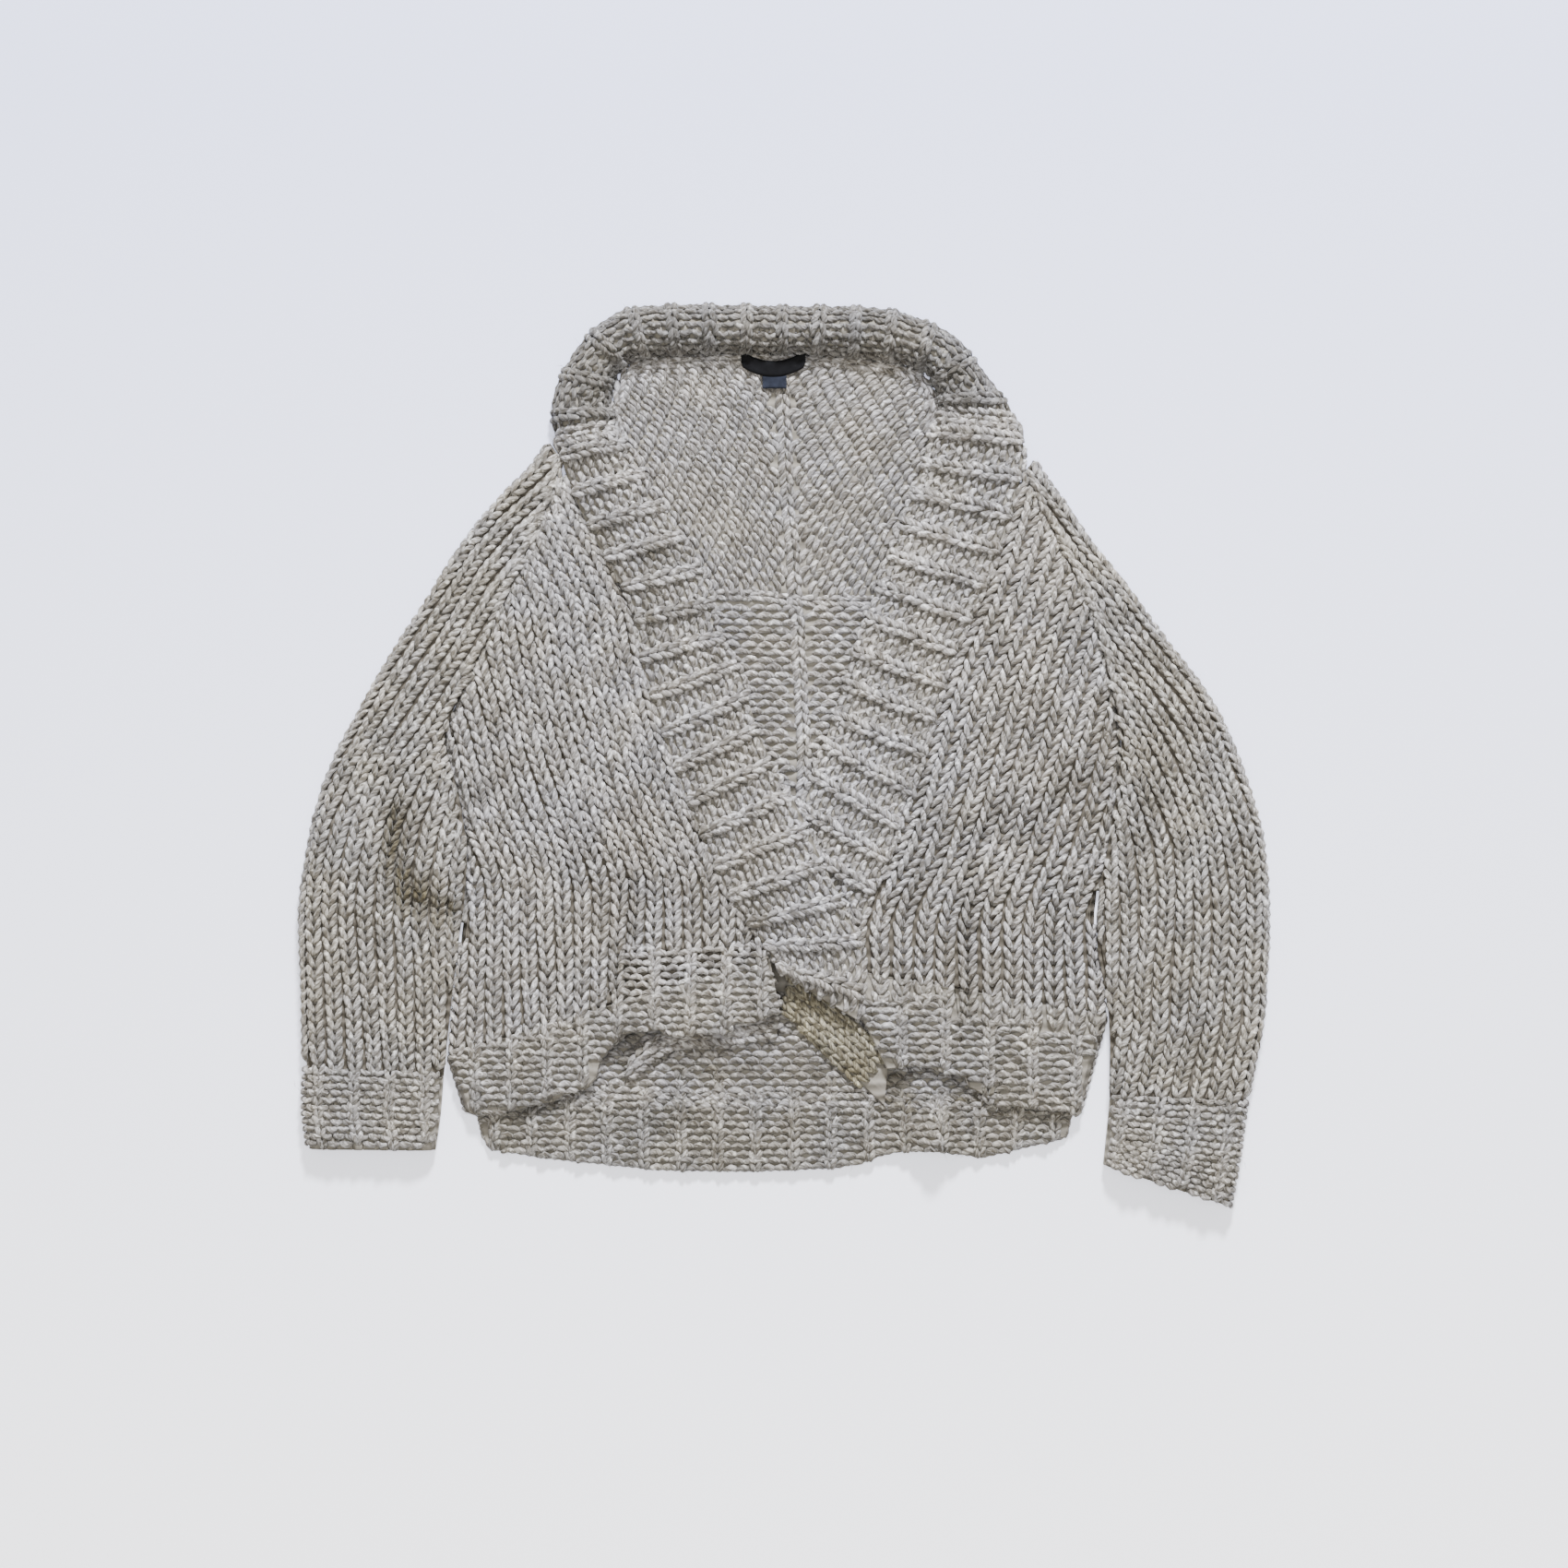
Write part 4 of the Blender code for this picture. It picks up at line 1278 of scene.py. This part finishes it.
def tape(node, name, look, middle, half, depth, sag):
    """A narrow woven tape, sewn at its ends, that sags and bows a little between them."""
    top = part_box(node)[1][2]
    columns = 33
    rows = 7
    points = []
    for j in range(rows):
        for k in range(columns):
            u = 2 * k / (columns - 1) - 1
            v = 2 * j / (rows - 1) - 1
            round_end = math.sqrt(max(1 - max(abs(u) - 0.93, 0) ** 2 / 0.07**2 * 0.75, 0.25))
            round_end = round_end if sag else 1.0
            x = middle[0] + half * u
            y = middle[1] - v * depth / 2 * round_end - sag * (1 - u * u) + sag * 0.6
            lift = 2.2 + 1.0 * (1 - u * u) * (1 - v * v) + 0.8 * abs(v)
            points.append((x * MM, y * MM, top + lift * MM))
    faces = []
    for j in range(rows - 1):
        for k in range(columns - 1):
            a = j * columns + k
            faces.append((a, a + columns, a + columns + 1, a + 1))
    mesh = bpy.data.meshes.new(name)
    mesh.from_pydata(points, [], faces)
    mesh.shade_smooth()
    mesh.materials.append(look)
    made = add(name, mesh)
    thick = made.modifiers.new("thickness", "SOLIDIFY")
    thick.thickness = TAPE_THICKNESS
    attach(made, "root")
    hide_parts(node)
    return made


# Stage

def camera():
    data = bpy.data.cameras.new("camera")
    made = add("camera", data)
    data.sensor_width = 36.0
    half = PHOTO_SIDE * PHOTO_PIXEL * MM / 2
    data.lens = data.sensor_width / 2 * CAMERA_HEIGHT / half
    made.location = (0.0, FRAME_CENTRE_Y * MM, CAMERA_HEIGHT + CLOTH_MIDDLE)
    bpy.context.scene.camera = made


LIGHTS = (
    # name, place, size in metres, power in watts, colour
    ("key", (0.35, 3.0, 2.3), 0.6, 430, (0.93, 0.95, 1.0)),
    ("top", (0.0, -0.2, 3.2), 2.4, 45, (0.97, 0.98, 1.0)),
)


def area_light(name, place, size, power, colour):
    """A round lamp that faces the middle of the garment."""
    data = bpy.data.lights.new(name, "AREA")
    data.shape = "DISK"
    data.size = size
    data.energy = power
    data.color = colour
    made = add(name, data)
    made.location = place
    made.rotation_euler = (-Vector(place)).to_track_quat("-Z", "Y").to_euler()


# Painted light: the floor's colour and emission, bright at the foot of the frame and darker and bluer at its
# head.
PAINTED_FLOOR_LIGHT_NEAR = (0.95, 0.95, 1.0)  # the pale table at the foot of the frame, and at its head
PAINTED_FLOOR_LIGHT_FAR = (0.56, 0.60, 0.82)
FLOOR_HALF = 4  # metres
FLOOR_LEVEL = -0.0002
FLOOR_FADE = (-0.6, 0.5)  # y in metres between which the colour changes


def floor():
    mesh = bpy.data.meshes.new("floor")
    corners = ((-1, -1), (1, -1), (1, 1), (-1, 1))
    mesh.from_pydata([(x * FLOOR_HALF, y * FLOOR_HALF, FLOOR_LEVEL) for x, y in corners], [], [(0, 1, 2, 3)])
    made = add("floor", mesh)
    look = Look("floor", 0.6)
    height = look.nodes.new("ShaderNodeMapRange")
    look.link(look.split(look.place())[1], height.inputs[0])
    height.inputs[1].default_value = FLOOR_FADE[0]
    height.inputs[2].default_value = FLOOR_FADE[1]
    painted_floor_light = look.ramp(height.outputs[0], (0.0, PAINTED_FLOOR_LIGHT_NEAR), (1.0, PAINTED_FLOOR_LIGHT_FAR))
    # The floor emits this colour: painted light.
    look.link(painted_floor_light, look.shader.inputs["Emission Color"])
    look.shader.inputs["Emission Strength"].default_value = 1.0
    look.colour(painted_floor_light)
    mesh.materials.append(look.made)


SKY_COLOUR = (1.0, 0.97, 0.86, 1)
SKY_STRENGTH = 0.72


def world():
    made = bpy.data.worlds.new("studio")
    made.use_nodes = True
    back = made.node_tree.nodes["Background"]
    back.inputs[0].default_value = SKY_COLOUR
    back.inputs[1].default_value = SKY_STRENGTH
    bpy.context.scene.world = made


# Cloth pieces: slot, flat width and length of what shows in metres, what each lies on, its creases
SHEETS = (
    # node, slot, flat, rests_on, creases
    ("back_yoke", "inside_knit", (0.42, 0.18), (), ()),
    ("back_lower", "inside_knit", (0.48, 0.375), (), ()),
    ("back_hem_rib", "inside_knit", (0.46, 0.062), (), ()),
    ("left_front", "knit", (0.241, 0.43), ("back_lower", "back_yoke"), CREASES),
    ("right_front", "knit", (0.21, 0.41), ("back_lower", "back_yoke"), CREASES),
    ("left_hem_rib", "rib_knit", (0.25, 0.12), ("back_lower", "under_hem"), CREASES),
    ("right_hem_rib", "rib_knit", (0.205, 0.11), ("back_lower", "turned_corner"), CREASES),
    ("left_sleeve", "knit", (0.25, 0.50), (), SLEEVE_CREASES),
    ("right_sleeve", "knit", (0.25, 0.53), (), SLEEVE_CREASES),
    ("left_cuff", "rib_knit", (0.225, 0.065), (), ()),
    ("right_cuff", "rib_knit", (0.23, 0.08), (), ()),
    ("collar", "rib_knit", (0.42, 0.068), (), ()),
    ("left_band", "rib_knit", (0.475, 0.08), ("back_yoke", "right_band"), ()),
    ("right_band", "rib_knit", (0.465, 0.08), ("back_yoke", "back_lower"), ()),
    ("turned_corner", "knit", (0.105, 0.046), ("back_lower",), ()),
    ("under_hem", "knit", (0.125, 0.02), ("back_lower",), ()),
)


LOOKS = {
    "back_yoke": INNER_WOOL,
    "back_lower": INNER_WOOL,
    "back_hem_rib": HEM_WOOL,
    "left_sleeve": SLEEVE_WOOL,
    "right_sleeve": SLEEVE_WOOL,
    "left_band": WOOL,
    "right_band": WOOL,
    "collar": COLLAR_WOOL,
    "turned_corner": TURNED_STRIP_SHADE_WOOL,
}


BAND_JOINTS = {
    # the line where each band meets the collar
    "left_band": ((-171, 237), (-127, 245)),
    "right_band": ((175, 249.8), (115, 255.8)),
}


def gather_yarns():
    """The yarn of every piece, in the order in which its unevenness is drawn."""
    yarns = {}
    yarns.update(front_knit("left_front", "left_hem_rib", LEFT_BAND_LINE, -100, 9, (8, 0), LEFT_RIB_TOP))
    yarns.update(front_knit("right_front", "right_hem_rib", RIGHT_BAND_LINE, -130, 6, (0, 8), RIGHT_RIB_TOP))
    yarns.update(sleeve_knit("left_sleeve", "left_cuff", "left_front", LEFT_SLEEVE_EDGE))
    yarns.update(sleeve_knit("right_sleeve", "right_cuff", "right_front", RIGHT_SLEEVE_EDGE))
    yarns["left_band"] = strip_ribs("left_band", LEFT_BAND)
    yarns["right_band"] = strip_ribs("right_band", RIGHT_BAND)
    yarns["collar"] = strip_ribs("collar", COLLAR, True, 1.6)
    yarns["back_yoke"] = yoke_knit()
    yarns.update(back_knit())
    yarns["turned_corner"] = corner_knit()
    yarns["under_hem"] = roll_knit()
    return yarns


def main():
    camera()
    floor()
    world()
    for light in LIGHTS:
        area_light(*light)

    yarns = gather_yarns()
    neck = neck_chain().make("neck_chain", WOOL, "rib_knit")
    for band, line in BAND_JOINTS.items():
        ground = Ground(band, "collar")
        for shift in (-2.5, 2.5):
            middle = tuple(sum(c) / 2 for c in zip(*line))
            rows = [(x, y + shift) for x, y in (line[0], middle, line[1])]
            chain(yarns[band], ground.above, rows, RIB_COLUMN, RIB_ROW)
    for node, slot, flat, carriers, creases in SHEETS:
        cloth = shell(node, creases)
        look = LOOKS.get(node, RIB_WOOL if slot == "rib_knit" else WOOL)
        yarns[node].fuzz(FUZZ)
        stitches = yarns[node].make(node + "_knit", look, slot)
        wall_area(cloth)
    label = tape(
        "label", "neck_label", tape_material("label_tape", (0.004, 0.004, 0.005), 0.6),
        LABEL_MIDDLE, LABEL_HALF, LABEL_DEPTH, LABEL_SAG,
    )
    tag = tape(
        "size_tag", "small_tag", tape_material("tag_tape", (0.016, 0.019, 0.030), 0.7),
        TAG_MIDDLE, TAG_HALF, TAG_DEPTH, 0.0,
    )


main()
